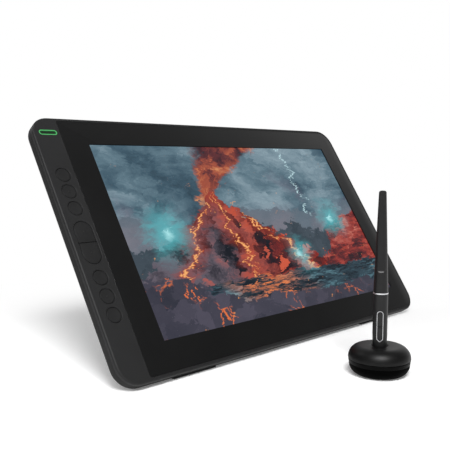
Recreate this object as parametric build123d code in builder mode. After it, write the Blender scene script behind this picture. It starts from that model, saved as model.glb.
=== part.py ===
# Graphics tablet with a screen, its folding stand, its pen and the pen's holder.
# Millimetres, +Z up. The origin is on the desk, in the middle of the set's footprint.
# X runs to the tablet's right, Y away from its user.

from build123d import *
import math
import os

os.makedirs("parts", exist_ok=True)

# Tablet body, round its screen
picture_width = 309.4
picture_height = 174
picture_left = 47.4
picture_right = 25.2
picture_top = 24.9
picture_base = 26.7
inner_depth = 4.8
corner_radius = 17
front_round = 1.6
back_round = 3.8
tilt = 57
desk_gap = 0.5

# Front frame: a plate with a wall round it, which carries the glass and the keys
frame_depth = 3.6
frame_plate = 2
frame_wall = 2.2
parting_gap = 0.2

# Cover glass, let into the frame beside the key strip
strip_width = 24
rim_side = 2.4
rim_end = 3
glass_thickness = 1.1
glass_sink = 0.1
glass_fit = 0.15
glass_strip_radius = 2

# Screen: the layers behind the glass
panel_border = 4
panel_radius = 1.5
panel_thickness = 1.3
panel_fit = 0.6
backlight_thickness = 2
sensor_thickness = 0.6
shield_thickness = 0.3

# Back cover
cover_wall = 3
cover_floor = 1.6
overrun = 1

# Keys in the strip: six round ones and two halves of a long one
key_inset = 13.5
key_radius = 5.9
key_first = 29.3
key_pitch = 14.95
key_gap = 0.25
key_mouth = 0.6
key_sink = 0.45
key_edge = 0.3
key_dish = 0.35
key_dish_reach = 5
key_travel = 0.8
key_flange = 0.8
key_flange_thickness = 0.8
key_flange_gap = 0.15
key_stem_radius = 2
key_stem = 0.9
pill_length = 35.6
pill_width = 15.3
pill_split = 0.5
pill_switch_offset = 8.9
dot_radius = 0.7

# Power button inside its green ring
ring_below_top = 14.4
ring_length = 16
ring_width = 4.8
ring_band = 0.9
ring_lip = 1.2
ring_lip_thickness = 0.5
ring_fit = 0.05
power_gap = 0.25
power_sink = 0.35

# Switches and boards
switch_gap = 0.1
switch_plunger_radius = 1.2
switch_plunger = 0.4
switch_body = 1
switch_side = 4.4
board_thickness = 1
key_board_width = 16
key_board_top_margin = 10.4
key_board_reach = 18.8
main_board_height = 68
main_board_hinge_gap = 22.5
main_board_right_gap = 4.5
main_board_top_gap = 18.8
main_board_gap = 1.2
board_post_radius = 2.4
board_screw_radius = 0.8
board_screw_length = 3
board_screw_head_radius = 1.5
board_screw_head = 0.6
board_screw_inset = 4
screw_fit = 0.03
chip_side = 12
chip_height = 0.7
chip_spacing = 18

# Ribbon cables
ribbon_thickness = 0.3
key_ribbon_rise = 20
key_ribbon_width = 8
ribbon_landing = 5
panel_ribbon_width = 30
panel_ribbon_reach = 3.4
panel_ribbon_depth = 2.3

# USB-C sockets in the right-hand edge
port_width = 9
port_height = 3.2
port_shell = 0.35
port_length = 7.5
port_lead = 0.4
port_tongue_width = 6.7
port_tongue_height = 0.7
port_fall = 8
port_pitch = 18
port_fit = 0.15

# Case screws and the posts that they bite in
case_post_radius = 3
case_post_inset = 8.8
case_post_strip_inset = 32.5
case_post_side_inset = 11.5
case_post_end_inset = 41
case_post_strip_spread = 80
case_post_side_spread = 70
case_screw_radius = 1
case_screw_length = 6.4
case_screw_head_radius = 2
case_screw_head = 0.8
case_screw_recess = 0.9

# Feet of the body
pad_radius = 7
pad_thickness = 1.4
pad_sink = 0.6
pad_inset_x = 41
pad_inset_y = 26.8
edge_foot_length = 44
edge_foot_width = 4.8
edge_foot_sink = 1.1
edge_foot_inset = 71
seat_fit = 0.05

# Folding stand on the back
hinge_y = 38
hinge_inset = 28
barrel_radius = 2.2
barrel_length = 24
stand_sink = 0.1
stand_thickness = 3
stand_angle = 72
stand_top_width = 196
stand_end_width = 168
stand_corner = 9
stand_neck = 3.2
stand_rim = 9
stand_rib = 4
stand_pocket = 1.3
stand_pocket_radius = 3
stand_foot_height = 6
stand_clearance = 0.8
stand_end_clearance = 2
recess_gap = 0.3
recess_floor = 1.3
recess_wall = 1.6
recess_top_gap = 0.6
scoop_width = 44
scoop_reach = 3
well_floor = 1.2
well_gap = 0.3
well_reach_up = 12
well_reach_down = 4
well_side = 4
pin_radius = 1.2
pin_fit = 0.05
pin_head_radius = 1.9
pin_head = 0.7
ear_thickness = 1.6
ear_height = 7
bracket_thickness = 1
bracket_start = 3
bracket_end = 11
washer_thickness = 0.4
washer_radius = 2.1
washer_gap = 0.05
hinge_screw_radius = 0.8
hinge_screw_length = 2
hinge_screw_head_radius = 1.5
hinge_screw_head = 0.6
hinge_screw_spread = 16

# Place of the pen holder on the desk, from the middle of the tablet
holder_left = 22.3
holder_ahead = 153.3
pen_turn = 212.4

# Pen holder: a bowl with a weight and spare nibs, and a lid with the pen's socket
holder_radius = 23.4
holder_base_radius = 17
holder_base_waist = 22.7
holder_base_height = 8.8
band_radius = 23.2
band_height = 3.3
holder_height = 22
lid_flat_radius = 14.7
lid_gap = 0.1
lid_wall = 2
socket_radius = 7.5
socket_wall = 1.3
socket_floor = 1
socket_lift = 2.8
mouth_edge = 0.5
lid_shoulder_share = 0.7
holder_bore = 17.3
holder_floor = 1.2
holder_pad_radius = 15.4
holder_pad_thickness = 1
holder_pad_proud = 0.6
weight_height = 4
weight_fit = 0.2
rack_top_radius = 13.9
rack_lid_gap = 0.8
rack_lid_side_gap = 1.2
rack_hole_gap = 0.5
spare_nib_count = 8
spare_nib_length = 12
spare_nib_circle = 11
spare_nib_proud = 2

# Pen, by height above the tip of its nib
pen_length = 134.3
pen_lift = 4
nib_radius = 0.8
nib_length = 12
nib_travel = 0.4
nose_start = 2.6
nose_end = 10
nose_tip_radius = 1.6
nose_end_radius = 3.7
nose_round = 0.4
nose_bore = 1.1
nose_spigot = 3
grip_low_height = 15
grip_low_radius = 5.1
grip_high_height = 26
pen_radius = 5.5
pen_blend = 5
pen_gap = 0.2
nose_wall = 0.7
grip_bore = 4.1
grip_bore_start = 16.9
ring_height = 57.4
silver_ring_height = 0.9
silver_ring_proud = 0.1
pen_tail_radius = 2.75
pen_tail_round = 1.7
spigot_radius = 4.05
spigot_length = 6
tail_bore = 3
tail_bore_end = 93
facet_end = 76.2
facet_low_reach = 4
facet_high_reach = 1.6
facet_run_out = 4
carrier_radius = 0.95
carrier_start = 9
carrier_end = 18.4
carrier_fit = 0.03
core_start = 13.1
core_end = 17
core_radius = 2
core_bore = 1.05
coil_start = 13.4
coil_end = 16.6
coil_radius = 2.9
sensor_cup_start = 17
sensor_cup_end = 20.6
sensor_cup_radius = 3.9
pen_board_width = 5
pen_board_thickness = 0.8
pen_board_end = 89

# Switch on the side of the pen
rocker_centre = 33.2
rocker_length = 23.4
rocker_width = 4.7
rocker_tip_angle = 100
rocker_corner = 1
rocker_tip_round = 0.4
rocker_band = 0.32
rocker_proud = 0.12
rocker_gap = 0.1
rocker_split = 0.6
rocker_depth = 3.7
rocker_flange_thickness = 0.5
rocker_travel = 0.4
rocker_rise = 0.35
rocker_switch_gap = 0.1
rocker_switch_height = 1
rocker_switch_side = 2.4

# Depths behind the front of the tablet
glass_back = glass_sink + glass_thickness
panel_back = glass_back + panel_thickness
backlight_back = panel_back + backlight_thickness
sensor_back = backlight_back + sensor_thickness
shield_back = sensor_back + shield_thickness
body_thickness = shield_back + inner_depth + cover_floor
main_board_depth = shield_back + main_board_gap
cover_front = frame_depth + parting_gap
floor_depth = body_thickness - cover_floor
hinge_depth = body_thickness - stand_sink - barrel_radius
stand_inner = stand_thickness - barrel_radius
recess_depth = hinge_depth - stand_inner - recess_gap
well_depth = hinge_depth - barrel_radius - well_gap
key_flange_front = frame_plate + key_flange_gap
key_flange_back = key_flange_front + key_flange_thickness
key_stem_back = key_flange_back + key_stem
plunger_front = key_stem_back + key_travel + switch_gap
key_board_depth = plunger_front + switch_plunger + switch_body

# Places in the plane of the tablet's face
body_width = picture_left + picture_width + picture_right
body_height = picture_base + picture_height + picture_top
glass_width = body_width - strip_width - rim_side
glass_height = body_height - 2 * rim_end
glass_x = (strip_width - rim_side) / 2
panel_x = picture_left + picture_width / 2 - body_width / 2
panel_y = picture_base + picture_height / 2 - body_height / 2
panel_width = picture_width + 2 * panel_border
panel_height = picture_height + 2 * panel_border
panel_right = panel_x + panel_width / 2
key_x = key_inset - body_width / 2
ring_y = body_height / 2 - ring_below_top
key_rows = [key_first + step * key_pitch for step in range(3)]
key_heights = [-row for row in reversed(key_rows)] + key_rows
key_board_top = body_height / 2 - key_board_top_margin
key_board_bottom = key_heights[0] - key_board_reach
key_board_height = key_board_top - key_board_bottom
key_board_y = (key_board_top + key_board_bottom) / 2
key_screw_heights = [
    ring_y - 1.25 * key_pitch,
    key_first - key_radius - board_post_radius / 2,
    key_radius + board_post_radius / 2 - key_first,
    key_board_bottom + board_screw_inset,
]
hinge_x = stand_top_width / 2 - hinge_inset
main_board_left = hinge_x + barrel_length / 2 + well_side + main_board_hinge_gap
main_board_right = body_width / 2 - main_board_right_gap
main_board_width = main_board_right - main_board_left
main_board_x = (main_board_left + main_board_right) / 2
main_board_y = body_height / 2 - main_board_top_gap - main_board_height / 2
main_screw_spread_x = main_board_width - 2 * board_screw_inset
main_screw_spread_y = main_board_height - 2 * board_screw_inset
post_edge_y = body_height / 2 - case_post_inset
post_strip_x = case_post_strip_inset - body_width / 2
post_side_x = body_width / 2 - case_post_side_inset
case_post_spread = (body_width - 2 * case_post_end_inset) / 3
case_post_places = [
    (step * case_post_spread, side * post_edge_y)
    for side in (-1, 1)
    for step in (-1.5, -0.5, 0.5, 1.5)
]
case_post_places += [(post_strip_x, side * case_post_strip_spread / 2) for side in (-1, 1)]
case_post_places += [(post_side_x, step * case_post_side_spread) for step in (-1, 0)]
port_heights = [main_board_y - port_fall + step * port_pitch for step in range(2)]
port_x = body_width / 2 - port_lead
port_depth = main_board_depth + board_thickness / 2
key_ribbon_y = main_board_y + key_ribbon_rise
pad_spread_x = body_width / 2 - pad_inset_x
pad_spread_y = body_height / 2 - pad_inset_y
edge_foot_spread = body_width / 2 - edge_foot_inset

# Height of the tablet's middle: its lower back edge lies just above the desk
lean = math.sin(math.radians(tilt))
slope = math.cos(math.radians(tilt))
edge_up = body_height / 2 - back_round
edge_back = body_thickness - back_round
tablet_z = edge_up * lean + edge_back * slope + back_round + desk_gap

# The stand's length, from its angle and the height of its hinge
hinge_z = tablet_z + hinge_y * lean - hinge_depth * slope
stand_lean = math.sin(math.radians(stand_angle))
stand_slope = math.cos(math.radians(stand_angle))
stand_length = hinge_z / stand_lean
foot_run = (hinge_z + barrel_radius * stand_slope) / stand_lean
foot_behind_hinge = barrel_radius * stand_lean + foot_run * stand_slope
rear_reach = hinge_y * slope + hinge_depth * lean + foot_behind_hinge
tablet_y = (holder_ahead + holder_radius - rear_reach) / 2
hinge_world_y = tablet_y + hinge_y * slope + hinge_depth * lean
edge_foot_y = tablet_y - edge_up * slope + edge_back * lean
holder_x = -holder_left
holder_y = tablet_y - holder_ahead

# Planes and axes
face = Plane(origin=(0, tablet_y, tablet_z), x_dir=(1, 0, 0), z_dir=(0, -lean, slope))
rear = Plane(face.offset(-body_thickness).origin, x_dir=(-1, 0, 0), z_dir=-face.z_dir)
face_axis = Axis(face.origin, face.z_dir)
leg = Plane(
    origin=(0, hinge_world_y, hinge_z),
    x_dir=(1, 0, 0),
    z_dir=(0, -stand_lean, -stand_slope),
)
desk = Plane.XY
turn_x = math.cos(math.radians(pen_turn))
turn_y = math.sin(math.radians(pen_turn))
holder_middle = Plane(origin=(holder_x, holder_y, 0), x_dir=(1, 0, 0), z_dir=(0, -1, 0))
pen_front = Plane(
    origin=(holder_x, holder_y, pen_lift),
    x_dir=(-turn_y, turn_x, 0),
    z_dir=(turn_x, turn_y, 0),
)
pen_side = Plane(origin=pen_front.origin, x_dir=pen_front.z_dir, z_dir=-pen_front.x_dir)
pen_axis = Axis(pen_front.origin, (0, 0, 1))


def body_outline(inset):
    """Draw the rounded outline of the body, drawn in by inset."""
    RectangleRounded(body_width - 2 * inset, body_height - 2 * inset, corner_radius - inset)


def glass_outline(growth):
    """Draw the glass: small corners beside the key strip, large ones at the rim."""
    rim_radius = corner_radius - rim_end
    width = glass_width + 2 * growth
    height = glass_height + 2 * growth
    with Locations((glass_x, 0)):
        RectangleRounded(width, height, rim_radius + growth)
    with Locations((glass_x - width / 4, 0)):
        RectangleRounded(width / 2, height, glass_strip_radius + growth)


def panel_outline(growth):
    """Draw the screen panel's outline, grown by a clearance."""
    with Locations((panel_x, panel_y)):
        RectangleRounded(panel_width + 2 * growth, panel_height + 2 * growth, panel_radius + growth)


def pill_outline(growth, side):
    """Draw one half of the long key; side is 1 for the upper half, -1 for the lower."""
    with Locations((key_x, 0)):
        SlotOverall(pill_length + 2 * growth, pill_width + 2 * growth, rotation=90)
    half = pill_length / 2 + growth
    with Locations((key_x, side * (pill_split / 2 + half / 2))):
        Rectangle(pill_width + 2 * growth, half, mode=Mode.INTERSECT)


def stand_outline(growth, top, end):
    """Draw the stand plate's tapered outline from its top edge to its end."""
    half_top = stand_top_width / 2 + growth
    half_end = stand_end_width / 2 + growth
    with BuildLine() as outline:
        FilletPolyline(
            (half_top, top),
            (half_end, end),
            (-half_end, end),
            (-half_top, top),
            radius=stand_corner + growth,
        )
        Line((-half_top, top), (half_top, top))
    make_face(outline.edges())


def round_bar(plane, radius, length):
    """Add a round bar that starts on a plane."""
    with BuildSketch(plane) as bar:
        Circle(radius)
    extrude(bar.sketch, amount=length)


# Front frame
with BuildPart() as front_frame:
    with BuildSketch(face.offset(-frame_depth)):
        body_outline(0)
    extrude(amount=frame_depth)
    fillet(front_frame.faces().sort_by(face_axis)[-1].edges(), front_round)
    with BuildSketch(face):
        glass_outline(glass_fit)
    extrude(amount=-glass_back, mode=Mode.SUBTRACT)
    with BuildSketch(face.offset(-frame_depth)):
        body_outline(frame_wall)
    extrude(amount=frame_depth - frame_plate, mode=Mode.SUBTRACT)
    with BuildSketch(face):
        panel_outline(panel_fit)
    extrude(amount=-frame_depth, mode=Mode.SUBTRACT)
    with BuildSketch(face.offset(-floor_depth)):
        with Locations(*case_post_places):
            Circle(case_post_radius)
    extrude(amount=floor_depth - frame_plate)
    with BuildSketch(face.offset(-floor_depth)):
        with Locations(*case_post_places):
            Circle(case_screw_radius + screw_fit)
    extrude(amount=case_screw_length, mode=Mode.SUBTRACT)
    with BuildSketch(face):
        with Locations(*[(key_x, height) for height in key_heights]):
            Circle(key_radius + key_gap)
        with Locations((key_x, 0)):
            SlotOverall(pill_length + 2 * key_gap, pill_width + 2 * key_gap, rotation=90)
    extrude(amount=-frame_plate, mode=Mode.SUBTRACT)
    chamfer(front_frame.edges(Select.LAST).group_by(face_axis)[-1], key_mouth)
    with BuildSketch(face):
        with Locations((key_x, ring_y)):
            SlotOverall(ring_length + 2 * ring_fit, ring_width + 2 * ring_fit)
    extrude(amount=-frame_plate, mode=Mode.SUBTRACT)
front_frame.part.label = "front_frame"
export_step(front_frame.part, "parts/front_frame.step")

# Cover glass
with BuildPart() as cover_glass:
    with BuildSketch(face.offset(-glass_back)):
        glass_outline(0)
    extrude(amount=glass_thickness)
    chamfer(cover_glass.faces().sort_by(face_axis)[-1].edges(), glass_sink)
cover_glass.part.label = "cover_glass"
export_step(cover_glass.part, "parts/cover_glass.step")

# Screen panel, bonded to the back of the glass
with BuildPart() as lcd_panel:
    with BuildSketch(face.offset(-panel_back)):
        panel_outline(0)
    extrude(amount=panel_thickness)
lcd_panel.part.label = "lcd_panel"
export_step(lcd_panel.part, "parts/lcd_panel.step")

# Backlight: a light guide in a tray with fixing ears
with BuildPart() as backlight:
    with BuildSketch(face.offset(-backlight_back)):
        panel_outline(0)
    extrude(amount=backlight_thickness)
    with BuildSketch(face.offset(-backlight_back)):
        with Locations((panel_x, panel_y)):
            Rectangle(picture_width, picture_height)
    extrude(amount=sensor_thickness, mode=Mode.SUBTRACT)
backlight.part.label = "backlight"
export_step(backlight.part, "parts/backlight.step")

# Board of antenna loops that finds the pen, set into the back of the tray
with BuildPart() as pen_sensor_board:
    with BuildSketch(face.offset(-sensor_back)):
        panel_outline(0)
    extrude(amount=sensor_thickness)
    with BuildSketch(face.offset(-backlight_back)):
        with Locations((panel_x, panel_y)):
            Rectangle(picture_width - 2 * seat_fit, picture_height - 2 * seat_fit)
    extrude(amount=sensor_thickness - seat_fit)
pen_sensor_board.part.label = "pen_sensor_board"
export_step(pen_sensor_board.part, "parts/pen_sensor_board.step")

# Shield plate: thin sheet over the sensor board
with BuildPart() as shield_plate:
    with BuildSketch(face.offset(-shield_back)):
        panel_outline(0)
    extrude(amount=shield_thickness)
shield_plate.part.label = "shield_plate"
export_step(shield_plate.part, "parts/shield_plate.step")

# Back cover: a tray with a recess for the stand, screw posts and port openings
stand_end = -stand_length
recess_end = hinge_y + stand_end - stand_end_clearance
recess_top = hinge_y + barrel_radius + recess_top_gap
well_half = barrel_length / 2 + well_side
well_places = [(side * hinge_x, hinge_y) for side in (-1, 1)]
well_height = well_reach_up + well_reach_down
well_shift = (well_reach_up - well_reach_down) / 2
with BuildPart() as back_cover:
    with BuildSketch(face.offset(-body_thickness)):
        body_outline(0)
    extrude(amount=body_thickness - cover_front)
    fillet(back_cover.faces().sort_by(face_axis)[0].edges(), back_round)
    with BuildSketch(face.offset(-floor_depth)):
        body_outline(cover_wall)
    extrude(amount=floor_depth, mode=Mode.SUBTRACT)
    with BuildSketch(face.offset(-floor_depth)):
        stand_outline(stand_clearance + recess_wall, recess_top + recess_wall, recess_end - recess_wall)
    extrude(amount=floor_depth - recess_depth + recess_floor)
    with BuildSketch(face.offset(-floor_depth)):
        with Locations(*well_places):
            with Locations((0, well_shift)):
                Rectangle(2 * (well_half + recess_wall), well_height + 2 * recess_wall)
    extrude(amount=floor_depth - well_depth + well_floor)
    with BuildSketch(face.offset(-floor_depth)):
        with Locations(*[(key_x, height) for height in key_screw_heights]):
            Circle(board_post_radius)
    extrude(amount=floor_depth - key_board_depth - board_thickness)
    with BuildSketch(face.offset(-floor_depth)):
        with Locations((main_board_x, main_board_y)):
            with GridLocations(main_screw_spread_x, main_screw_spread_y, 2, 2):
                Circle(board_post_radius)
    extrude(amount=floor_depth - main_board_depth - board_thickness)
    with BuildSketch(face.offset(-body_thickness)):
        stand_outline(stand_clearance, recess_top, recess_end)
        with Locations((0, recess_end)):
            SlotOverall(scoop_width, 2 * scoop_reach)
    extrude(amount=body_thickness - recess_depth, mode=Mode.SUBTRACT)
    with BuildSketch(face.offset(-body_thickness)):
        with Locations(*well_places):
            with Locations((0, well_shift)):
                Rectangle(2 * well_half, well_height)
    extrude(amount=body_thickness - well_depth, mode=Mode.SUBTRACT)
    with BuildSketch(face.offset(-well_depth)):
        with Locations(*well_places):
            with Locations((0, (bracket_start + bracket_end) / 2)):
                with GridLocations(hinge_screw_spread, 0, 2, 1):
                    Circle(hinge_screw_radius + screw_fit)
    extrude(amount=hinge_screw_length, mode=Mode.SUBTRACT)
    with BuildSketch(face.offset(-floor_depth)):
        with Locations(*[(key_x, height) for height in key_screw_heights]):
            Circle(board_screw_radius + screw_fit)
        with Locations((main_board_x, main_board_y)):
            with GridLocations(main_screw_spread_x, main_screw_spread_y, 2, 2):
                Circle(board_screw_radius + screw_fit)
    extrude(amount=floor_depth - cover_front, mode=Mode.SUBTRACT)
    with BuildSketch(Plane(face.from_local_coords((0, 0, -port_depth)), x_dir=face.y_dir, z_dir=face.x_dir)):
        with Locations(*[(height, 0) for height in port_heights]):
            SlotOverall(port_width + 2 * port_fit, port_height + 2 * port_fit)
    extrude(amount=body_width, mode=Mode.SUBTRACT)
    with Locations(*[rear * Pos(-x, y, 0) for x, y in case_post_places]):
        CounterBoreHole(
            case_screw_radius + screw_fit,
            case_screw_head_radius + port_fit,
            case_screw_recess,
            depth=2 * cover_floor,
        )
    with BuildSketch(face.offset(-body_thickness)):
        with GridLocations(2 * pad_spread_x, 2 * pad_spread_y, 2, 2):
            Circle(pad_radius + seat_fit)
    extrude(amount=pad_sink, mode=Mode.SUBTRACT)
    with BuildSketch(desk):
        with Locations((0, edge_foot_y)):
            with GridLocations(2 * edge_foot_spread, 0, 2, 1):
                RectangleRounded(
                    edge_foot_length + 2 * seat_fit, edge_foot_width + 2 * seat_fit, edge_foot_width / 3
                )
    extrude(amount=desk_gap + edge_foot_sink, mode=Mode.SUBTRACT)
back_cover.part.label = "back_cover"
export_step(back_cover.part, "parts/back_cover.step")

# Case screws
with BuildPart() as case_screws:
    with BuildSketch(rear.offset(-case_screw_recess)):
        with Locations(*[(-x, y) for x, y in case_post_places]):
            Circle(case_screw_head_radius)
    extrude(amount=case_screw_head)
    with BuildSketch(rear.offset(-case_screw_recess)):
        with Locations(*[(-x, y) for x, y in case_post_places]):
            Circle(case_screw_radius)
    extrude(amount=-case_screw_length)
case_screws.part.label = "case_screws"
export_step(case_screws.part, "parts/case_screws.step")

# Rubber pads on the back, for use lying flat
with BuildPart() as back_pads:
    with BuildSketch(rear.offset(-pad_sink)):
        with GridLocations(2 * pad_spread_x, 2 * pad_spread_y, 2, 2):
            Circle(pad_radius)
    extrude(amount=pad_thickness)
    chamfer(back_pads.edges().group_by(face_axis)[0], pad_sink / 2)
back_pads.part.label = "back_pads"
export_step(back_pads.part, "parts/back_pads.step")

# Rubber feet let into the lower back edge, flat where they stand on the desk
with BuildPart() as edge_feet:
    with BuildSketch(desk):
        with Locations((0, edge_foot_y)):
            with GridLocations(2 * edge_foot_spread, 0, 2, 1):
                RectangleRounded(edge_foot_length, edge_foot_width, edge_foot_width / 3)
    extrude(amount=desk_gap + edge_foot_sink)
edge_feet.part.label = "edge_feet"
export_step(edge_feet.part, "parts/edge_feet.step")

# Key board with its connector, and the holes for its screws
with BuildPart() as key_board:
    with BuildSketch(face.offset(-key_board_depth)):
        with Locations((key_x, key_board_y)):
            RectangleRounded(key_board_width, key_board_height, board_post_radius)
        with Locations(*[(key_x, height) for height in key_screw_heights]):
            Circle(board_screw_radius + switch_gap, mode=Mode.SUBTRACT)
    extrude(amount=-board_thickness)
    with BuildSketch(face.offset(-key_board_depth)):
        with Locations((key_x + key_board_width / 2 - ribbon_landing / 2, key_ribbon_y)):
            Rectangle(ribbon_landing, key_ribbon_width)
    extrude(amount=key_board_depth - shield_back - ribbon_thickness)
key_board.part.label = "key_board"
export_step(key_board.part, "parts/key_board.step")

# Tactile switches under the keys and the power button
switch_places = [(key_x, height) for height in key_heights]
switch_places += [(key_x, side * pill_switch_offset) for side in (-1, 1)]
switch_places += [(key_x, ring_y)]
with BuildPart() as key_switches:
    with BuildSketch(face.offset(-key_board_depth)):
        with Locations(*switch_places):
            Rectangle(switch_side, switch_side)
    extrude(amount=switch_body)
    with BuildSketch(face.offset(-key_board_depth)):
        with Locations(*switch_places):
            Circle(switch_plunger_radius)
    extrude(amount=switch_body + switch_plunger)
key_switches.part.label = "key_switches"
export_step(key_switches.part, "parts/key_switches.step")

# Main board: notched for the ports, with its chips and connectors
with BuildPart() as main_board:
    with BuildSketch(face.offset(-main_board_depth)):
        with Locations((main_board_x, main_board_y)):
            RectangleRounded(main_board_width, main_board_height, board_post_radius)
            with GridLocations(main_screw_spread_x, main_screw_spread_y, 2, 2):
                Circle(board_screw_radius + switch_gap, mode=Mode.SUBTRACT)
        with Locations(*[(port_x, height) for height in port_heights]):
            Rectangle(2 * (port_length + port_fit), port_width + 2 * port_fit, mode=Mode.SUBTRACT)
    extrude(amount=-board_thickness)
    with BuildSketch(face.offset(-main_board_depth)):
        with Locations((main_board_left + ribbon_landing / 2, key_ribbon_y)):
            Rectangle(ribbon_landing, key_ribbon_width)
    extrude(amount=main_board_depth - shield_back - ribbon_thickness)
    with BuildSketch(face.offset(-main_board_depth - board_thickness)):
        with Locations((main_board_x, main_board_y)):
            with GridLocations(chip_spacing, chip_spacing, 3, 2):
                Rectangle(chip_side, chip_side)
    extrude(amount=-chip_height)
main_board.part.label = "main_board"
export_step(main_board.part, "parts/main_board.step")

# Screws of both boards
with BuildPart() as board_screws:
    with BuildSketch(face.offset(-key_board_depth)):
        with Locations(*[(key_x, height) for height in key_screw_heights]):
            Circle(board_screw_head_radius)
    extrude(amount=board_screw_head)
    with BuildSketch(face.offset(-key_board_depth)):
        with Locations(*[(key_x, height) for height in key_screw_heights]):
            Circle(board_screw_radius)
    extrude(amount=-board_screw_length)
    with BuildSketch(face.offset(-main_board_depth)):
        with Locations((main_board_x, main_board_y)):
            with GridLocations(main_screw_spread_x, main_screw_spread_y, 2, 2):
                Circle(board_screw_head_radius)
    extrude(amount=board_screw_head)
    with BuildSketch(face.offset(-main_board_depth)):
        with Locations((main_board_x, main_board_y)):
            with GridLocations(main_screw_spread_x, main_screw_spread_y, 2, 2):
                Circle(board_screw_radius)
    extrude(amount=-board_screw_length)
board_screws.part.label = "board_screws"
export_step(board_screws.part, "parts/board_screws.step")

# USB-C sockets: a stadium shell round a thin tongue
port_plane = Plane(face.from_local_coords((port_x, 0, -port_depth)), x_dir=face.y_dir, z_dir=face.x_dir)
with BuildPart() as usb_sockets:
    with BuildSketch(port_plane):
        with Locations(*[(height, 0) for height in port_heights]):
            SlotOverall(port_width, port_height)
    extrude(amount=-port_length)
    with BuildSketch(port_plane):
        with Locations(*[(height, 0) for height in port_heights]):
            SlotOverall(port_width - 2 * port_shell, port_height - 2 * port_shell)
    extrude(amount=port_lead - port_length, mode=Mode.SUBTRACT)
    with BuildSketch(port_plane.offset(-port_length)):
        with Locations(*[(height, 0) for height in port_heights]):
            Rectangle(port_tongue_width, port_tongue_height)
    extrude(amount=port_length - port_lead)
usb_sockets.part.label = "usb_sockets"
export_step(usb_sockets.part, "parts/usb_sockets.step")

# Ribbon cable from the panel's edge round to the main board
panel_ribbon_back = main_board_depth - ribbon_thickness / 2
panel_ribbon_out = panel_right + panel_ribbon_reach
panel_ribbon_plane = Plane(
    face.from_local_coords((0, main_board_y - panel_ribbon_width / 2, 0)), x_dir=face.x_dir, z_dir=face.y_dir
)
with BuildPart() as panel_ribbon:
    with BuildSketch(panel_ribbon_plane):
        with BuildLine() as ribbon_path:
            Line((panel_right, panel_ribbon_depth), (panel_ribbon_out, panel_ribbon_depth))
            TangentArc(
                (panel_ribbon_out, panel_ribbon_depth),
                (panel_ribbon_out, panel_ribbon_back),
                tangent=(1, 0),
            )
            Line((panel_ribbon_out, panel_ribbon_back), (panel_right - ribbon_landing, panel_ribbon_back))
        trace(line_width=ribbon_thickness)
    extrude(amount=panel_ribbon_width)
panel_ribbon.part.label = "panel_ribbon"
export_step(panel_ribbon.part, "parts/panel_ribbon.step")

# Ribbon cable from the key board to the main board, taped under the shield
key_ribbon_start = key_x + key_board_width / 2 - ribbon_landing
key_ribbon_end = main_board_left + ribbon_landing
with BuildPart() as key_ribbon:
    with BuildSketch(face.offset(-shield_back)):
        with Locations(((key_ribbon_start + key_ribbon_end) / 2, key_ribbon_y)):
            Rectangle(key_ribbon_end - key_ribbon_start, key_ribbon_width)
    extrude(amount=-ribbon_thickness)
key_ribbon.part.label = "key_ribbon"
export_step(key_ribbon.part, "parts/key_ribbon.step")

# Green ring, a light guide with a lip behind the plate
with BuildPart() as power_ring:
    with BuildSketch(face.offset(-frame_plate)):
        with Locations((key_x, ring_y)):
            SlotOverall(ring_length, ring_width)
    extrude(amount=frame_plate)
    with BuildSketch(face.offset(-frame_plate - ring_lip_thickness)):
        with Locations((key_x, ring_y)):
            SlotOverall(ring_length + 2 * ring_lip, ring_width + 2 * ring_lip)
    extrude(amount=ring_lip_thickness)
    with BuildSketch(face):
        with Locations((key_x, ring_y)):
            SlotOverall(ring_length - 2 * ring_band, ring_width - 2 * ring_band)
    extrude(amount=-frame_plate - ring_lip_thickness, mode=Mode.SUBTRACT)
    chamfer(power_ring.edges().group_by(face_axis)[-1], ring_band / 5)
power_ring.part.label = "power_ring"
export_step(power_ring.part, "parts/power_ring.step")

# Power button inside the ring
power_length = ring_length - 2 * ring_band - 2 * power_gap
power_width = ring_width - 2 * ring_band - 2 * power_gap
power_flange_front = frame_plate + ring_lip_thickness + key_flange_gap
with BuildPart() as power_button:
    with BuildSketch(face.offset(-power_flange_front)):
        with Locations((key_x, ring_y)):
            SlotOverall(power_length, power_width)
    extrude(amount=power_flange_front - power_sink)
    with BuildSketch(face.offset(-key_flange_back)):
        with Locations((key_x, ring_y)):
            SlotOverall(ring_length, ring_width)
    extrude(amount=key_flange_back - power_flange_front)
    with BuildSketch(face.offset(-key_stem_back)):
        with Locations((key_x, ring_y)):
            Circle(key_stem_radius)
    extrude(amount=key_stem)
power_button.part.label = "power_button"
export_step(power_button.part, "parts/power_button.step")

# Round keys: a dished cap, a flange behind the plate and a stem over the switch
dish_radius = (key_dish_reach**2 + key_dish**2) / (2 * key_dish)
dot_keys = (2, 5)
for number, height in enumerate(key_heights, start=1):
    with BuildPart() as round_key:
        with BuildSketch(face.offset(-key_flange_front)):
            with Locations((key_x, height)):
                Circle(key_radius)
        extrude(amount=key_flange_front - key_sink)
        chamfer(round_key.edges().group_by(face_axis)[-1], key_edge)
        with BuildSketch(face.offset(-key_flange_back)):
            with Locations((key_x, height)):
                Circle(key_radius + key_flange)
        extrude(amount=key_flange_thickness)
        with BuildSketch(face.offset(-key_stem_back)):
            with Locations((key_x, height)):
                Circle(key_stem_radius)
        extrude(amount=key_stem)
        with Locations(face * Pos(key_x, height, dish_radius - key_sink - key_dish)):
            Sphere(dish_radius, mode=Mode.SUBTRACT)
        if number in dot_keys:
            with Locations(face * Pos(key_x, height, -key_sink - key_dish - dot_radius / 2)):
                Sphere(dot_radius)
    round_key.part.label = f"round_key_{number}"
    export_step(round_key.part, f"parts/round_key_{number}.step")

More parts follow.
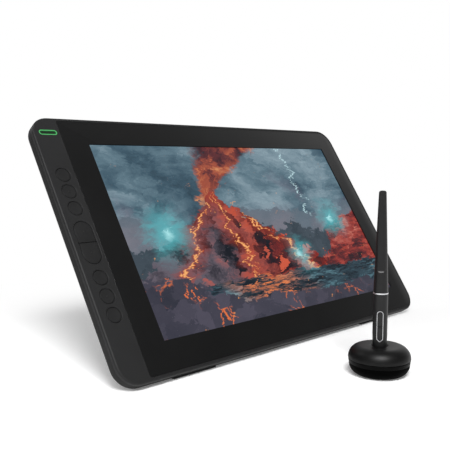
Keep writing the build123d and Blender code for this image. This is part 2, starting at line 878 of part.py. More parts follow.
# Halves of the long key, each with a raised dot
for name, side in (("upper", 1), ("lower", -1)):
    with BuildPart() as pill_key:
        with BuildSketch(face.offset(-key_flange_front)):
            pill_outline(0, side)
        extrude(amount=key_flange_front - key_sink)
        chamfer(pill_key.edges().group_by(face_axis)[-1], key_edge)
        with BuildSketch(face.offset(-key_flange_back)):
            pill_outline(key_flange, side)
        extrude(amount=key_flange_thickness)
        with BuildSketch(face.offset(-key_stem_back)):
            with Locations((key_x, side * pill_switch_offset)):
                Circle(key_stem_radius)
        extrude(amount=key_stem)
        with Locations(face * Pos(key_x, side * pill_switch_offset, -key_sink - dot_radius / 2)):
            Sphere(dot_radius)
    pill_key.part.label = f"{name}_pill_key"
    export_step(pill_key.part, f"parts/{name}_pill_key.step")

# Stand plate: tapered, ribbed on its inner side, with two barrels at the hinge
foot_start = -(stand_length - stand_foot_height)
pocket_width = (stand_end_width - 2 * stand_rim - 2 * stand_rib) / 3
pocket_height = (stand_length - stand_foot_height - stand_neck - 2 * stand_rim - stand_rib) / 2
with BuildPart() as stand_plate:
    with BuildSketch(leg.offset(-barrel_radius)):
        stand_outline(0, -stand_neck, stand_end)
        with Locations((0, foot_start / 2)):
            Rectangle(2 * stand_top_width, -foot_start, mode=Mode.INTERSECT)
        with Locations((-hinge_x, -stand_neck / 2), (hinge_x, -stand_neck / 2)):
            Rectangle(barrel_length, stand_neck)
    extrude(amount=stand_thickness)
    with BuildSketch(leg.offset(stand_inner)):
        with Locations((0, (foot_start - stand_neck) / 2)):
            with GridLocations(pocket_width + stand_rib, pocket_height + stand_rib, 3, 2):
                RectangleRounded(pocket_width, pocket_height, stand_pocket_radius)
    extrude(amount=-stand_pocket, mode=Mode.SUBTRACT)
    with BuildSketch(Plane(leg.from_local_coords((-hinge_x - barrel_length / 2, 0, 0)), z_dir=leg.x_dir)):
        Circle(barrel_radius)
    extrude(amount=barrel_length)
    with BuildSketch(Plane(leg.from_local_coords((hinge_x - barrel_length / 2, 0, 0)), z_dir=leg.x_dir)):
        Circle(barrel_radius)
    extrude(amount=barrel_length)
    with BuildSketch(Plane(leg.from_local_coords((-stand_top_width, 0, 0)), z_dir=leg.x_dir)):
        Circle(pin_radius + pin_fit)
    extrude(amount=2 * stand_top_width, mode=Mode.SUBTRACT)
stand_plate.part.label = "stand_plate"
export_step(stand_plate.part, "parts/stand_plate.step")

# Rubber foot of the stand, cut flat where it meets the desk
with BuildPart() as stand_foot:
    with BuildSketch(leg.offset(-barrel_radius)):
        stand_outline(0, -stand_neck, stand_end - stand_end_clearance)
        with Locations((0, (foot_start + 2 * stand_end) / 2)):
            Rectangle(2 * stand_top_width, foot_start - 2 * stand_end, mode=Mode.INTERSECT)
    extrude(amount=stand_thickness)
    split(bisect_by=desk, keep=Keep.TOP)
stand_foot.part.label = "stand_foot"
export_step(stand_foot.part, "parts/stand_foot.step")

# Hinge brackets: a base on the well's floor and two ears that hold the pin
ear_gap = barrel_length / 2 + washer_thickness + 2 * washer_gap
ear_reach = ear_gap + ear_thickness
with BuildPart() as hinge_brackets:
    with BuildSketch(face.offset(-well_depth)):
        with Locations(*well_places):
            with Locations((0, (bracket_start + bracket_end) / 2)):
                Rectangle(2 * ear_reach, bracket_end - bracket_start)
    extrude(amount=-bracket_thickness)
    for side in (-1, 1):
        for start in (-ear_reach, ear_gap):
            ear = Plane(
                face.from_local_coords((side * hinge_x + start, hinge_y, -hinge_depth)),
                x_dir=face.y_dir,
                z_dir=face.x_dir,
            )
            with BuildSketch(ear):
                Circle(barrel_radius)
                with Locations((ear_height / 2, (hinge_depth - well_depth) / 2)):
                    Rectangle(ear_height, hinge_depth - well_depth)
            extrude(amount=ear_thickness)
    with BuildSketch(Plane(leg.from_local_coords((-stand_top_width, 0, 0)), z_dir=leg.x_dir)):
        Circle(pin_radius + screw_fit)
    extrude(amount=2 * stand_top_width, mode=Mode.SUBTRACT)
    with BuildSketch(face.offset(-well_depth)):
        with Locations(*well_places):
            with Locations((0, (bracket_start + bracket_end) / 2)):
                with GridLocations(hinge_screw_spread, 0, 2, 1):
                    Circle(hinge_screw_radius + screw_fit)
    extrude(amount=-bracket_thickness, mode=Mode.SUBTRACT)
hinge_brackets.part.label = "hinge_brackets"
export_step(hinge_brackets.part, "parts/hinge_brackets.step")

# Hinge pins, each with a head outside its outer ear
with BuildPart() as hinge_pins:
    for side in (-1, 1):
        outward = side * face.x_dir
        head = Plane(leg.from_local_coords((side * (hinge_x + ear_reach), 0, 0)), z_dir=outward)
        round_bar(head, pin_head_radius, pin_head)
        round_bar(head, pin_radius, -2 * ear_reach)
hinge_pins.part.label = "hinge_pins"
export_step(hinge_pins.part, "parts/hinge_pins.step")

# Friction washers between the barrels and the ears
with BuildPart() as hinge_washers:
    for side in (-1, 1):
        for start in (-ear_gap + washer_gap, barrel_length / 2 + washer_gap):
            with BuildSketch(
                Plane(leg.from_local_coords((side * hinge_x + start, 0, 0)), z_dir=leg.x_dir)
            ):
                Circle(washer_radius)
                Circle(pin_radius + pin_fit, mode=Mode.SUBTRACT)
            extrude(amount=washer_thickness)
hinge_washers.part.label = "hinge_washers"
export_step(hinge_washers.part, "parts/hinge_washers.step")

# Screws of the hinge brackets
with BuildPart() as hinge_screws:
    for radius, start, length in (
        (hinge_screw_head_radius, well_depth + bracket_thickness, hinge_screw_head),
        (hinge_screw_radius, well_depth + bracket_thickness, -hinge_screw_length),
    ):
        with BuildSketch(face.offset(-start)):
            with Locations(*well_places):
                with Locations((0, (bracket_start + bracket_end) / 2)):
                    with GridLocations(hinge_screw_spread, 0, 2, 1):
                        Circle(radius)
        extrude(amount=-length)
hinge_screws.part.label = "hinge_screws"
export_step(hinge_screws.part, "parts/hinge_screws.step")


def pen_half_outline(growth, low, high):
    """Draw half of the pen's outline, from the height low to high, as a closed face."""
    taper = (pen_radius - pen_tail_radius) / (pen_length - ring_height)
    with BuildLine() as outline:
        FilletPolyline(
            (0, nose_start - growth),
            (nose_tip_radius + growth, nose_start - growth),
            (nose_end_radius + growth, nose_end),
            (grip_low_radius + growth, grip_low_height),
            (pen_radius + growth, grip_high_height),
            (pen_radius + growth, ring_height),
            (pen_tail_radius + growth + taper * growth, pen_length + growth),
            (0, pen_length + growth),
            radius=[nose_round, pen_blend, pen_blend, pen_blend, pen_blend, pen_tail_round],
        )
        Line((0, pen_length + growth), (0, nose_start - growth))
    make_face(outline.edges())
    with Locations((0, (low + high) / 2)):
        Rectangle(4 * pen_radius, high - low, mode=Mode.INTERSECT)


def rocker_outline(growth):
    """Draw the outline of the pen's switch: round at its top, pointed at its end."""
    half = rocker_width / 2 + growth
    top = rocker_centre + rocker_length / 2 + growth
    tip_lean = math.radians(rocker_tip_angle / 2)
    tip = rocker_centre - rocker_length / 2 - growth / math.sin(tip_lean)
    with BuildLine() as outline:
        FilletPolyline(
            (-half, top - half),
            (-half, tip + half / math.tan(tip_lean)),
            (0, tip),
            (half, tip + half / math.tan(tip_lean)),
            (half, top - half),
            radius=[rocker_corner, rocker_tip_round, rocker_corner],
        )
        ThreePointArc((half, top - half), (0, top), (-half, top - half))
    make_face(outline.edges())


# Nib, worn round at its tip
with BuildPart() as pen_nib:
    with BuildSketch(pen_front):
        with BuildLine():
            Polyline((0, 0), (0, nib_length), (nib_radius, nib_length), (nib_radius, nib_radius))
            ThreePointArc(
                (nib_radius, nib_radius),
                (nib_radius * math.sin(math.radians(45)), nib_radius * (1 - math.cos(math.radians(45)))),
                (0, 0),
            )
        make_face()
    revolve(axis=pen_axis)
pen_nib.part.label = "pen_nib"
export_step(pen_nib.part, "parts/pen_nib.step")

# Carrier: the rod that grips the nib and presses on the sensor
with BuildPart() as nib_carrier:
    with BuildSketch(desk.offset(pen_lift + carrier_start)):
        with Locations((holder_x, holder_y)):
            Circle(carrier_radius)
            Circle(nib_radius + carrier_fit, mode=Mode.SUBTRACT)
    extrude(amount=nib_length - carrier_start)
    with BuildSketch(desk.offset(pen_lift + nib_length)):
        with Locations((holder_x, holder_y)):
            Circle(carrier_radius)
    extrude(amount=carrier_end - nib_length)
nib_carrier.part.label = "nib_carrier"
export_step(nib_carrier.part, "parts/nib_carrier.step")

# Nose cone, with a spigot up into the grip
with BuildPart() as pen_nose:
    with BuildSketch(pen_front):
        pen_half_outline(0, 0, nose_end)
    revolve(axis=pen_axis)
    with BuildSketch(desk.offset(pen_lift + nose_end)):
        with Locations((holder_x, holder_y)):
            Circle(nose_end_radius - nose_wall)
    extrude(amount=nose_spigot)
    with BuildSketch(desk):
        with Locations((holder_x, holder_y)):
            Circle(nose_bore)
    extrude(amount=pen_lift + nose_end + nose_spigot, mode=Mode.SUBTRACT)
pen_nose.part.label = "pen_nose"
export_step(pen_nose.part, "parts/pen_nose.step")

# Grip: a tapered tube with a slot for the switch
with BuildPart() as pen_grip:
    with BuildSketch(pen_front):
        pen_half_outline(0, nose_end, ring_height)
    revolve(axis=pen_axis)
    with BuildSketch(desk):
        with Locations((holder_x, holder_y)):
            Circle(nose_end_radius - nose_wall + seat_fit)
    extrude(amount=pen_lift + grip_bore_start, mode=Mode.SUBTRACT)
    with BuildSketch(desk.offset(pen_lift + grip_bore_start)):
        with Locations((holder_x, holder_y)):
            Circle(grip_bore)
    extrude(amount=ring_height, mode=Mode.SUBTRACT)
    with BuildSketch(pen_front):
        rocker_outline(seat_fit)
    extrude(amount=2 * pen_radius, mode=Mode.SUBTRACT)
pen_grip.part.label = "pen_grip"
export_step(pen_grip.part, "parts/pen_grip.step")

# Silver ring between the grip and the tail
with BuildPart() as pen_ring:
    with BuildSketch(desk.offset(pen_lift + ring_height)):
        with Locations((holder_x, holder_y)):
            Circle(pen_radius + silver_ring_proud)
            Circle(spigot_radius + seat_fit, mode=Mode.SUBTRACT)
    extrude(amount=silver_ring_height)
pen_ring.part.label = "pen_ring"
export_step(pen_ring.part, "parts/pen_ring.step")

# Tail of the pen: a long cone with one flat that runs out in a curve
tail_start = ring_height + silver_ring_height
with BuildPart() as pen_tail:
    with BuildSketch(pen_front):
        pen_half_outline(0, tail_start, pen_length)
    revolve(axis=pen_axis)
    with BuildSketch(desk.offset(pen_lift + tail_start)):
        with Locations((holder_x, holder_y)):
            Circle(spigot_radius)
    extrude(amount=-silver_ring_height - spigot_length)
    with BuildSketch(desk):
        with Locations((holder_x, holder_y)):
            Circle(tail_bore)
    extrude(amount=pen_lift + tail_bore_end, mode=Mode.SUBTRACT)
    with BuildSketch(pen_side.offset(-pen_radius)):
        with BuildLine():
            Line((facet_low_reach, facet_end), (facet_high_reach, pen_length + overrun))
            Line((facet_high_reach, pen_length + overrun), (2 * pen_radius, pen_length + overrun))
            Line((2 * pen_radius, pen_length + overrun), (2 * pen_radius, facet_end - facet_run_out))
            Line(
                (2 * pen_radius, facet_end - facet_run_out),
                (facet_low_reach + facet_run_out, facet_end - facet_run_out),
            )
            RadiusArc(
                (facet_low_reach + facet_run_out, facet_end - facet_run_out),
                (facet_low_reach, facet_end),
                facet_run_out,
            )
        make_face()
    extrude(amount=2 * pen_radius, mode=Mode.SUBTRACT)
pen_tail.part.label = "pen_tail"
export_step(pen_tail.part, "parts/pen_tail.step")

# Silver frame round the pen's two buttons, curved to the grip
with BuildPart() as rocker_frame:
    with BuildSketch(pen_front.offset(rocker_depth)):
        rocker_outline(0)
    extrude(amount=pen_radius)
    with BuildSketch(pen_front.offset(rocker_depth)):
        rocker_outline(-rocker_band)
    extrude(amount=pen_radius, mode=Mode.SUBTRACT)
    with BuildSketch(pen_front):
        pen_half_outline(rocker_proud, nose_start, ring_height)
    revolve(axis=pen_axis, mode=Mode.INTERSECT)
rocker_frame.part.label = "rocker_frame"
export_step(rocker_frame.part, "parts/rocker_frame.step")

# The pen's two buttons, flanged behind the frame
rocker_flange_top = rocker_depth - rocker_gap
rocker_flange_bottom = rocker_flange_top - rocker_flange_thickness
rocker_stem_bottom = rocker_flange_bottom - rocker_gap
rocker_switch_top = rocker_stem_bottom - rocker_travel - rocker_switch_gap
for name, side in (("upper", 1), ("lower", -1)):
    half_middle = (0, rocker_centre + side * (rocker_split + rocker_length) / 2)
    with BuildPart() as pen_button:
        with BuildSketch(pen_front.offset(rocker_flange_bottom)):
            rocker_outline(-rocker_band - rocker_gap)
            with Locations(half_middle):
                Rectangle(2 * rocker_width, rocker_length, mode=Mode.INTERSECT)
        extrude(amount=pen_radius)
        with BuildSketch(pen_front):
            pen_half_outline(rocker_rise, nose_start, ring_height)
        revolve(axis=pen_axis, mode=Mode.INTERSECT)
        with BuildSketch(pen_front.offset(rocker_flange_bottom)):
            rocker_outline(-rocker_gap)
            with Locations(half_middle):
                Rectangle(2 * rocker_width, rocker_length, mode=Mode.INTERSECT)
        extrude(amount=rocker_flange_thickness)
        with BuildSketch(pen_front.offset(rocker_stem_bottom)):
            with Locations((0, rocker_centre + side * rocker_length / 4)):
                Circle(rocker_switch_side / 3)
        extrude(amount=rocker_gap)
    pen_button.part.label = f"{name}_pen_button"
    export_step(pen_button.part, f"parts/{name}_pen_button.step")

# Circuit board of the pen, with the switches under its buttons
board_face = rocker_switch_top - rocker_switch_height
pen_board_start = sensor_cup_end
pen_board_middle = (pen_board_start + pen_board_end) / 2
with BuildPart() as pen_board:
    with BuildSketch(pen_front.offset(board_face - pen_board_thickness)):
        with Locations((0, pen_board_middle)):
            Rectangle(pen_board_width, pen_board_end - pen_board_start)
    extrude(amount=pen_board_thickness)
    with BuildSketch(pen_front.offset(board_face)):
        with Locations((0, rocker_centre)):
            with GridLocations(0, rocker_length / 2, 1, 2):
                Rectangle(rocker_switch_side, rocker_switch_side)
    extrude(amount=rocker_switch_height)
pen_board.part.label = "pen_board"
export_step(pen_board.part, "parts/pen_board.step")

# Ferrite core round the nib's carrier
with BuildPart() as pen_core:
    with BuildSketch(desk.offset(pen_lift + core_start)):
        with Locations((holder_x, holder_y)):
            Circle(core_radius)
            Circle(core_bore, mode=Mode.SUBTRACT)
    extrude(amount=core_end - core_start)
pen_core.part.label = "pen_core"
export_step(pen_core.part, "parts/pen_core.step")

# Coil wound on the core
with BuildPart() as pen_coil:
    with BuildSketch(desk.offset(pen_lift + coil_start)):
        with Locations((holder_x, holder_y)):
            Circle(coil_radius)
            Circle(core_radius + seat_fit, mode=Mode.SUBTRACT)
    extrude(amount=coil_end - coil_start)
pen_coil.part.label = "pen_coil"
export_step(pen_coil.part, "parts/pen_coil.step")

# Pressure sensor: a cup over the end of the carrier
with BuildPart() as pressure_sensor:
    with BuildSketch(desk.offset(pen_lift + sensor_cup_start)):
        with Locations((holder_x, holder_y)):
            Circle(sensor_cup_radius)
    extrude(amount=sensor_cup_end - sensor_cup_start)
    with BuildSketch(desk.offset(pen_lift + sensor_cup_start)):
        with Locations((holder_x, holder_y)):
            Circle(core_bore)
    extrude(amount=carrier_end + nib_travel + seat_fit - sensor_cup_start, mode=Mode.SUBTRACT)
pressure_sensor.part.label = "pressure_sensor"
export_step(pressure_sensor.part, "parts/pressure_sensor.step")

# Holder base: a bowl
band_top = holder_base_height + band_height
with BuildPart() as holder_base:
    with BuildSketch(holder_middle):
        with BuildLine():
            Line((0, holder_pad_proud), (holder_base_radius, holder_pad_proud))
            TangentArc(
                (holder_base_waist, holder_base_height),
                (holder_base_radius, holder_pad_proud),
                tangent=(0, -1),
            )
            Line((holder_base_waist, holder_base_height), (0, holder_base_height))
            Line((0, holder_base_height), (0, holder_pad_proud))
        make_face()
    revolve(axis=pen_axis)
    with BuildSketch(desk.offset(holder_pad_proud + holder_floor)):
        with Locations((holder_x, holder_y)):
            Circle(holder_bore)
    extrude(amount=holder_base_height, mode=Mode.SUBTRACT)
    with BuildSketch(desk):
        with Locations((holder_x, holder_y)):
            Circle(holder_pad_radius + seat_fit)
    extrude(amount=holder_pad_thickness, mode=Mode.SUBTRACT)
holder_base.part.label = "holder_base"
export_step(holder_base.part, "parts/holder_base.step")

# Rubber pad under the holder
with BuildPart() as holder_pad:
    with BuildSketch(desk):
        with Locations((holder_x, holder_y)):
            Circle(holder_pad_radius)
    extrude(amount=holder_pad_thickness)
holder_pad.part.label = "holder_pad"
export_step(holder_pad.part, "parts/holder_pad.step")

# Steel weight in the base
holder_floor_top = holder_pad_proud + holder_floor
with BuildPart() as holder_weight:
    with BuildSketch(desk.offset(holder_floor_top)):
        with Locations((holder_x, holder_y)):
            Circle(holder_bore - weight_fit)
            Circle(socket_radius + rack_hole_gap, mode=Mode.SUBTRACT)
    extrude(amount=weight_height)
holder_weight.part.label = "holder_weight"
export_step(holder_weight.part, "parts/holder_weight.step")

# Band between the base and the lid, flaring up to the lid's edge
band_taper = math.degrees(math.atan2(band_radius - holder_base_waist, band_height))
with BuildPart() as holder_band:
    with BuildSketch(desk.offset(holder_base_height)):
        with Locations((holder_x, holder_y)):
            Circle(holder_base_waist)
    extrude(amount=band_height, taper=-band_taper)
    with BuildSketch(desk.offset(holder_base_height)):
        with Locations((holder_x, holder_y)):
            Circle(holder_bore)
    extrude(amount=band_height, mode=Mode.SUBTRACT)
holder_band.part.label = "holder_band"
export_step(holder_band.part, "parts/holder_band.step")

# Nib rack: fills the lid round the pen's socket, with one hole for each spare nib
rack_base = holder_floor_top + weight_height
rack_radius = holder_bore - weight_fit
rack_top = holder_height - lid_wall - rack_lid_gap - spare_nib_proud
nib_base = rack_top + spare_nib_proud - spare_nib_length
rack_taper = math.degrees(math.atan2(rack_radius - rack_top_radius, rack_top - band_top))
with BuildPart() as nib_rack:
    with BuildSketch(desk.offset(rack_base)):
        with Locations((holder_x, holder_y)):
            Circle(rack_radius)
    extrude(amount=band_top - rack_base)
    with BuildSketch(desk.offset(band_top)):
        with Locations((holder_x, holder_y)):
            Circle(rack_radius)
    extrude(amount=rack_top - band_top, taper=rack_taper)
    with BuildSketch(desk.offset(rack_base)):
        with Locations((holder_x, holder_y)):
            Circle(socket_radius + rack_hole_gap)
    extrude(amount=holder_height, mode=Mode.SUBTRACT)
    with BuildSketch(desk.offset(nib_base)):
        with Locations((holder_x, holder_y)):
            with PolarLocations(spare_nib_circle, spare_nib_count):
                Circle(nib_radius + seat_fit)
    extrude(amount=holder_height, mode=Mode.SUBTRACT)
nib_rack.part.label = "nib_rack"
export_step(nib_rack.part, "parts/nib_rack.step")

# Spare nibs in the rack
with BuildPart() as spare_nibs:
    with BuildSketch(desk.offset(nib_base)):
        with Locations((holder_x, holder_y)):
            with PolarLocations(spare_nib_circle, spare_nib_count):
                Circle(nib_radius)
    extrude(amount=spare_nib_length)
spare_nibs.part.label = "spare_nibs"
export_step(spare_nibs.part, "parts/spare_nibs.step")

# Lid: a rounded dome with the pen's socket hanging from its middle
lid_base = band_top + lid_gap
lid_top_inside = holder_height - lid_wall
socket_bore = socket_radius - socket_wall
shoulder_radius = lid_flat_radius + (holder_radius - lid_flat_radius) * lid_shoulder_share
shoulder_height = lid_base + (holder_height - lid_base) * lid_shoulder_share
with BuildPart() as holder_lid:
    with BuildSketch(holder_middle):
        with BuildLine():
            Line((0, lid_base), (holder_radius - lid_gap, lid_base))
            ThreePointArc(
                (holder_radius - lid_gap, lid_base),
                (shoulder_radius, shoulder_height),
                (lid_flat_radius, holder_height),
            )
            Line((lid_flat_radius, holder_height), (0, holder_height))
            Line((0, holder_height), (0, lid_base))
        make_face()
    revolve(axis=pen_axis)
    with BuildSketch(desk.offset(lid_base)):
        with Locations((holder_x, holder_y)):
            Circle(holder_bore + rack_lid_side_gap)
    extrude(amount=lid_top_inside - lid_base, taper=rack_taper, mode=Mode.SUBTRACT)
    with BuildSketch(desk.offset(socket_lift)):
        with Locations((holder_x, holder_y)):
            Circle(socket_radius)
    extrude(amount=lid_top_inside - socket_lift)
    with BuildSketch(desk.offset(socket_lift + socket_floor)):
        with Locations((holder_x, holder_y)):
            Circle(socket_bore)
    extrude(amount=holder_height, mode=Mode.SUBTRACT)
    mouth = holder_lid.faces().filter_by(GeomType.PLANE).sort_by(Axis.Z)[-1]
    chamfer(mouth.edges().filter_by(GeomType.CIRCLE).sort_by(SortBy.RADIUS)[0], mouth_edge)
holder_lid.part.label = "holder_lid"
export_step(holder_lid.part, "parts/holder_lid.step")

# Rubber sleeve in the socket, shaped to the pen
with BuildPart() as socket_sleeve:
    with BuildSketch(desk.offset(socket_lift + socket_floor)):
        with Locations((holder_x, holder_y)):
            Circle(socket_bore - seat_fit)
    extrude(amount=holder_height - mouth_edge - socket_lift - socket_floor)
    with BuildSketch(pen_front):
        pen_half_outline(pen_gap, -pen_gap, ring_height)
    revolve(axis=pen_axis, mode=Mode.SUBTRACT)
    with BuildSketch(desk):
        with Locations((holder_x, holder_y)):
            Circle(nose_bore + pen_gap)
    extrude(amount=pen_lift + nose_start, mode=Mode.SUBTRACT)
socket_sleeve.part.label = "socket_sleeve"
export_step(socket_sleeve.part, "parts/socket_sleeve.step")
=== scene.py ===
# %% [markdown]
# # A graphics tablet with a screen, its pen and the pen's holder
#
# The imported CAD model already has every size, place and joint. This lesson gives it
# its looks: it refines the pieces whose light matters most, paints a picture for the
# screen, and writes each finish as a small set of shader nodes. The first cell loads
# the model as a fixed frame that everything else is built around.

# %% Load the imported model
import math

import bmesh
import bpy
from mathutils import Matrix, Vector


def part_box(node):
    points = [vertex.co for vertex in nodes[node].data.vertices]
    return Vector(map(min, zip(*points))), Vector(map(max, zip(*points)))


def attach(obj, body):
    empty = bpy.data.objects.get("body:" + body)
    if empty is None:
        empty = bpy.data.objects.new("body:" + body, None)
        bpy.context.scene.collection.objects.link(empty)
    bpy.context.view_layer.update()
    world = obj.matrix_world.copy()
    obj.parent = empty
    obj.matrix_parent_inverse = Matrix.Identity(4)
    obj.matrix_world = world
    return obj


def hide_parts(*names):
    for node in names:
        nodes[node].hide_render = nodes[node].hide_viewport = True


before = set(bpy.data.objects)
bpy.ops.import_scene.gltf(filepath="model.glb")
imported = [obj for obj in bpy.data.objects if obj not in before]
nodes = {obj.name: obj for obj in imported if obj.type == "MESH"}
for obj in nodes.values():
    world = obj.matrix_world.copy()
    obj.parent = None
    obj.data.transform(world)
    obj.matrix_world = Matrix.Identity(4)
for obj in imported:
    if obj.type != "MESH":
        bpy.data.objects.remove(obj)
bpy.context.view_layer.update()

# %% [markdown]
# ## Places
#
# The tablet leans back on its stand, so its pieces are easiest to draw lying flat, in
# millimetres, with the middle of the face at zero, and then to stand up with one
# matrix. The pen's holder gets a matrix in the same way. The places come from the
# boxes of CAD pieces, so they can't drift from the model.

# %% Matrices from drawing to desk
MM = 0.001
TILT = math.radians(57)
PICTURE_WIDTH = 309.4
PICTURE_HEIGHT = 174
PICTURE_X = 11.1
PICTURE_Y = 0.9
PANEL_MIDDLE_DEPTH = 1.85
STRIP_X = -177.5

across = Vector((1, 0, 0))
upward = Vector((0, math.cos(TILT), math.sin(TILT)))
outward = Vector((0, -math.sin(TILT), math.cos(TILT)))


def middle_of(node):
    low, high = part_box(node)
    return (low + high) / 2


face_middle = middle_of("lcd_panel") + MM * (
    PANEL_MIDDLE_DEPTH * outward - PICTURE_X * across - PICTURE_Y * upward
)
holder_foot = middle_of("holder_base")
holder_foot.z = 0
drawing = Matrix.Scale(MM, 4)
tablet_place = Matrix.Translation(face_middle) @ Matrix.Rotation(TILT, 4, "X") @ drawing
holder_place = Matrix.Translation(holder_foot) @ drawing
print("face middle:", [round(value, 4) for value in face_middle])

# %% [markdown]
# ## The camera
#
# The photograph was taken from the left of the set, a little above the desk, with a
# lens of about 54 mm. The camera comes first, because every later choice is judged
# through it.

# %% The camera of the photograph
CAMERA_FROM_FACE = Vector((-0.4566, -0.42904))
CAMERA_HEIGHT = 0.15975
CAMERA_FORWARD = Vector((0.698, 0.710, -0.0933))
LENS = 54.36
SENSOR_WIDTH = 36

camera_data = bpy.data.cameras.new("camera")
camera_data.lens = LENS
camera_data.sensor_width = SENSOR_WIDTH
camera = bpy.data.objects.new("camera", camera_data)
bpy.context.scene.collection.objects.link(camera)
camera.location = (
    CAMERA_FROM_FACE.x + face_middle.x,
    CAMERA_FROM_FACE.y + face_middle.y,
    CAMERA_HEIGHT,
)
camera.rotation_euler = CAMERA_FORWARD.to_track_quat("-Z", "Y").to_euler()
bpy.context.scene.camera = camera
print("camera at:", [round(value, 3) for value in camera.location])

# %% [markdown]
# ## Shader maths in plain Python
#
# A finish is a graph of nodes, and most of its nodes are sums. `Wire` wraps one output
# of a node so that `1 - mask` adds the Math node by itself.


# %% Wires
class Wire:
    """One output of a node, written as a number: each operator adds a Math node."""

    def __init__(self, finish, socket):
        self.finish = finish
        self.socket = socket

    def math(self, operation, *others):
        return self.finish.node("Math", {"operation": operation}, self, *others)

    def __add__(self, other):
        return self.math("ADD", other)

    def __sub__(self, other):
        return self.math("SUBTRACT", other)

    def __rsub__(self, other):
        return self.finish.node("Math", {"operation": "SUBTRACT"}, other, self)

    def __mul__(self, other):
        return self.math("MULTIPLY", other)

    def __truediv__(self, other):
        return self.math("DIVIDE", other)

    def __pow__(self, other):
        return self.math("POWER", other)

    def __gt__(self, other):
        return self.math("GREATER_THAN", other)

    def __lt__(self, other):
        return self.math("LESS_THAN", other)

    def __abs__(self):
        return self.math("ABSOLUTE")

    __radd__ = __add__
    __rmul__ = __mul__


print("wires ready")

# %% [markdown]
# ## Finishes
#
# `Finish` holds a material, or the world, while it is made. Its method `node` adds any
# node with its settings and its inputs, and the short methods under it add the nodes
# that nearly every finish needs: where the surface lies, noise, cells, mixes and bumps.


# %% Finishes
class Finish:
    """A material, or the world, under construction."""

    def __init__(self, name, kind="materials", shader="Principled BSDF", **constants):
        self.material = getattr(bpy.data, kind).new(name)
        self.material.use_nodes = True
        self.tree = self.material.node_tree
        self.shader = self.tree.nodes[shader]
        for socket, value in constants.items():
            self.drive(socket.replace("_", " "), value)

    def feed(self, socket, value):
        """Link a wire to an input, or write a constant in it."""
        if isinstance(value, Wire):
            self.tree.links.new(value.socket, socket)
        elif socket.type == "RGBA":
            socket.default_value = (*value, 1)
        else:
            socket.default_value = value

    def drive(self, name, value):
        """Feed one input of the surface shader."""
        self.feed(self.shader.inputs[name], value)

    def node(self, kind, settings=None, *values, out=None, **named):
        """Add a node: its settings first, then its inputs in order or by name."""
        node = self.tree.nodes.new("ShaderNode" + kind)
        for setting, value in (settings or {}).items():
            if setting == "stops":
                ramp = node.color_ramp.elements
                while len(ramp) < len(value):
                    ramp.new(0.5)
                for element, (position, colour) in zip(ramp, value):
                    element.position = position
                    element.color = (*colour, 1)
            else:
                setattr(node, setting, value)
        for socket, value in zip([s for s in node.inputs if s.enabled], values):
            self.feed(socket, value)
        for name, value in named.items():
            self.feed(node.inputs[name.replace("_", " ")], value)
        outputs = [s for s in node.outputs if s.enabled]
        return Wire(self, node.outputs[out] if out else outputs[0])

    def ray(self, kind):
        """1 for rays of one kind, such as Camera or Glossy, and 0 for the rest."""
        return self.node("LightPath", out=f"Is {kind} Ray")

    def here(self):
        """The place on the object, in metres."""
        return self.node("TexCoord", out="Object")

    def along(self, direction, origin):
        """How many millimetres the surface lies from a point along a direction."""
        offset = self.node("VectorMath", {"operation": "SUBTRACT"}, self.here(), origin)
        return self.dot(offset, direction / MM)

    def dot(self, vector, weights):
        """One number from a vector or a colour: the sum of its weighted parts."""
        return self.node(
            "VectorMath", {"operation": "DOT_PRODUCT"}, vector, weights, out="Value"
        )

    def distance(self, place, other):
        return self.node("VectorMath", {"operation": "DISTANCE"}, place, other, out="Value")

    def vector(self, x, y, z=0.0):
        return self.node("CombineXYZ", None, x, y, z)

    def noise(self, where, scale, detail=3, roughness=0.5, distortion=0.0):
        return self.node(
            "TexNoise",
            None,
            Vector=where,
            Scale=scale,
            Detail=detail,
            Roughness=roughness,
            Distortion=distortion,
            out="Fac",
        )

    def cells(self, where, scale, feature="F1", out="Distance", randomness=1.0):
        return self.node(
            "TexVoronoi",
            {"feature": feature},
            Vector=where,
            Scale=scale,
            Randomness=randomness,
            out=out,
        )

    def mix(self, factor, low, high):
        """Mix two colours by a factor."""
        settings = {"data_type": "RGBA", "blend_type": "MIX", "clamp_factor": True}
        return self.node("Mix", settings, factor, low, high)

    def ramp(self, value, *stops):
        return self.node("ValToRGB", {"stops": stops}, value)

    def smooth(self, value, low, high):
        """Rise softly from 0 at low to 1 at high."""
        settings = {"interpolation_type": "SMOOTHSTEP"}
        return self.node("MapRange", settings, value, low, high)

    def bump(self, height, distance, strength=1.0):
        """Raise the surface by a height from 0 to 1; distance is in millimetres."""
        normal = self.node(
            "Bump", None, Strength=strength, Distance=distance * MM, Height=height
        )
        self.drive("Normal", normal)


def grey(value):
    """A neutral colour with a trace of blue in it."""
    return (value, value * 1.005, value * 1.03)


def two_tones(colour, swing):
    """A darker and a lighter tone of a colour."""
    return [tuple(part * (1 + side * swing) for part in colour) for side in (-1, 1)]


def give(material, *names):
    """Put a material on CAD nodes, in place of the one that they came with."""
    for name in names:
        piece = nodes[name]
        if not piece.material_slots:
            piece.data.materials.append(material)
        for slot in piece.material_slots:
            slot.material = material


print("helpers ready")

# %% [markdown]
# ## Moulded plastic
#
# The case, the keys and the holder's bowl are moulded in dark plastic from an etched
# mould. Such a surface is never one flat grey: the etch makes a fine grain that breaks
# up the highlight, the melt leaves slow, faint clouds, and handling polishes it a
# little. Noise at three sizes gives all three, and each finish has its own amounts.

# %% Plastics
CLOUD_SWING = 0.12


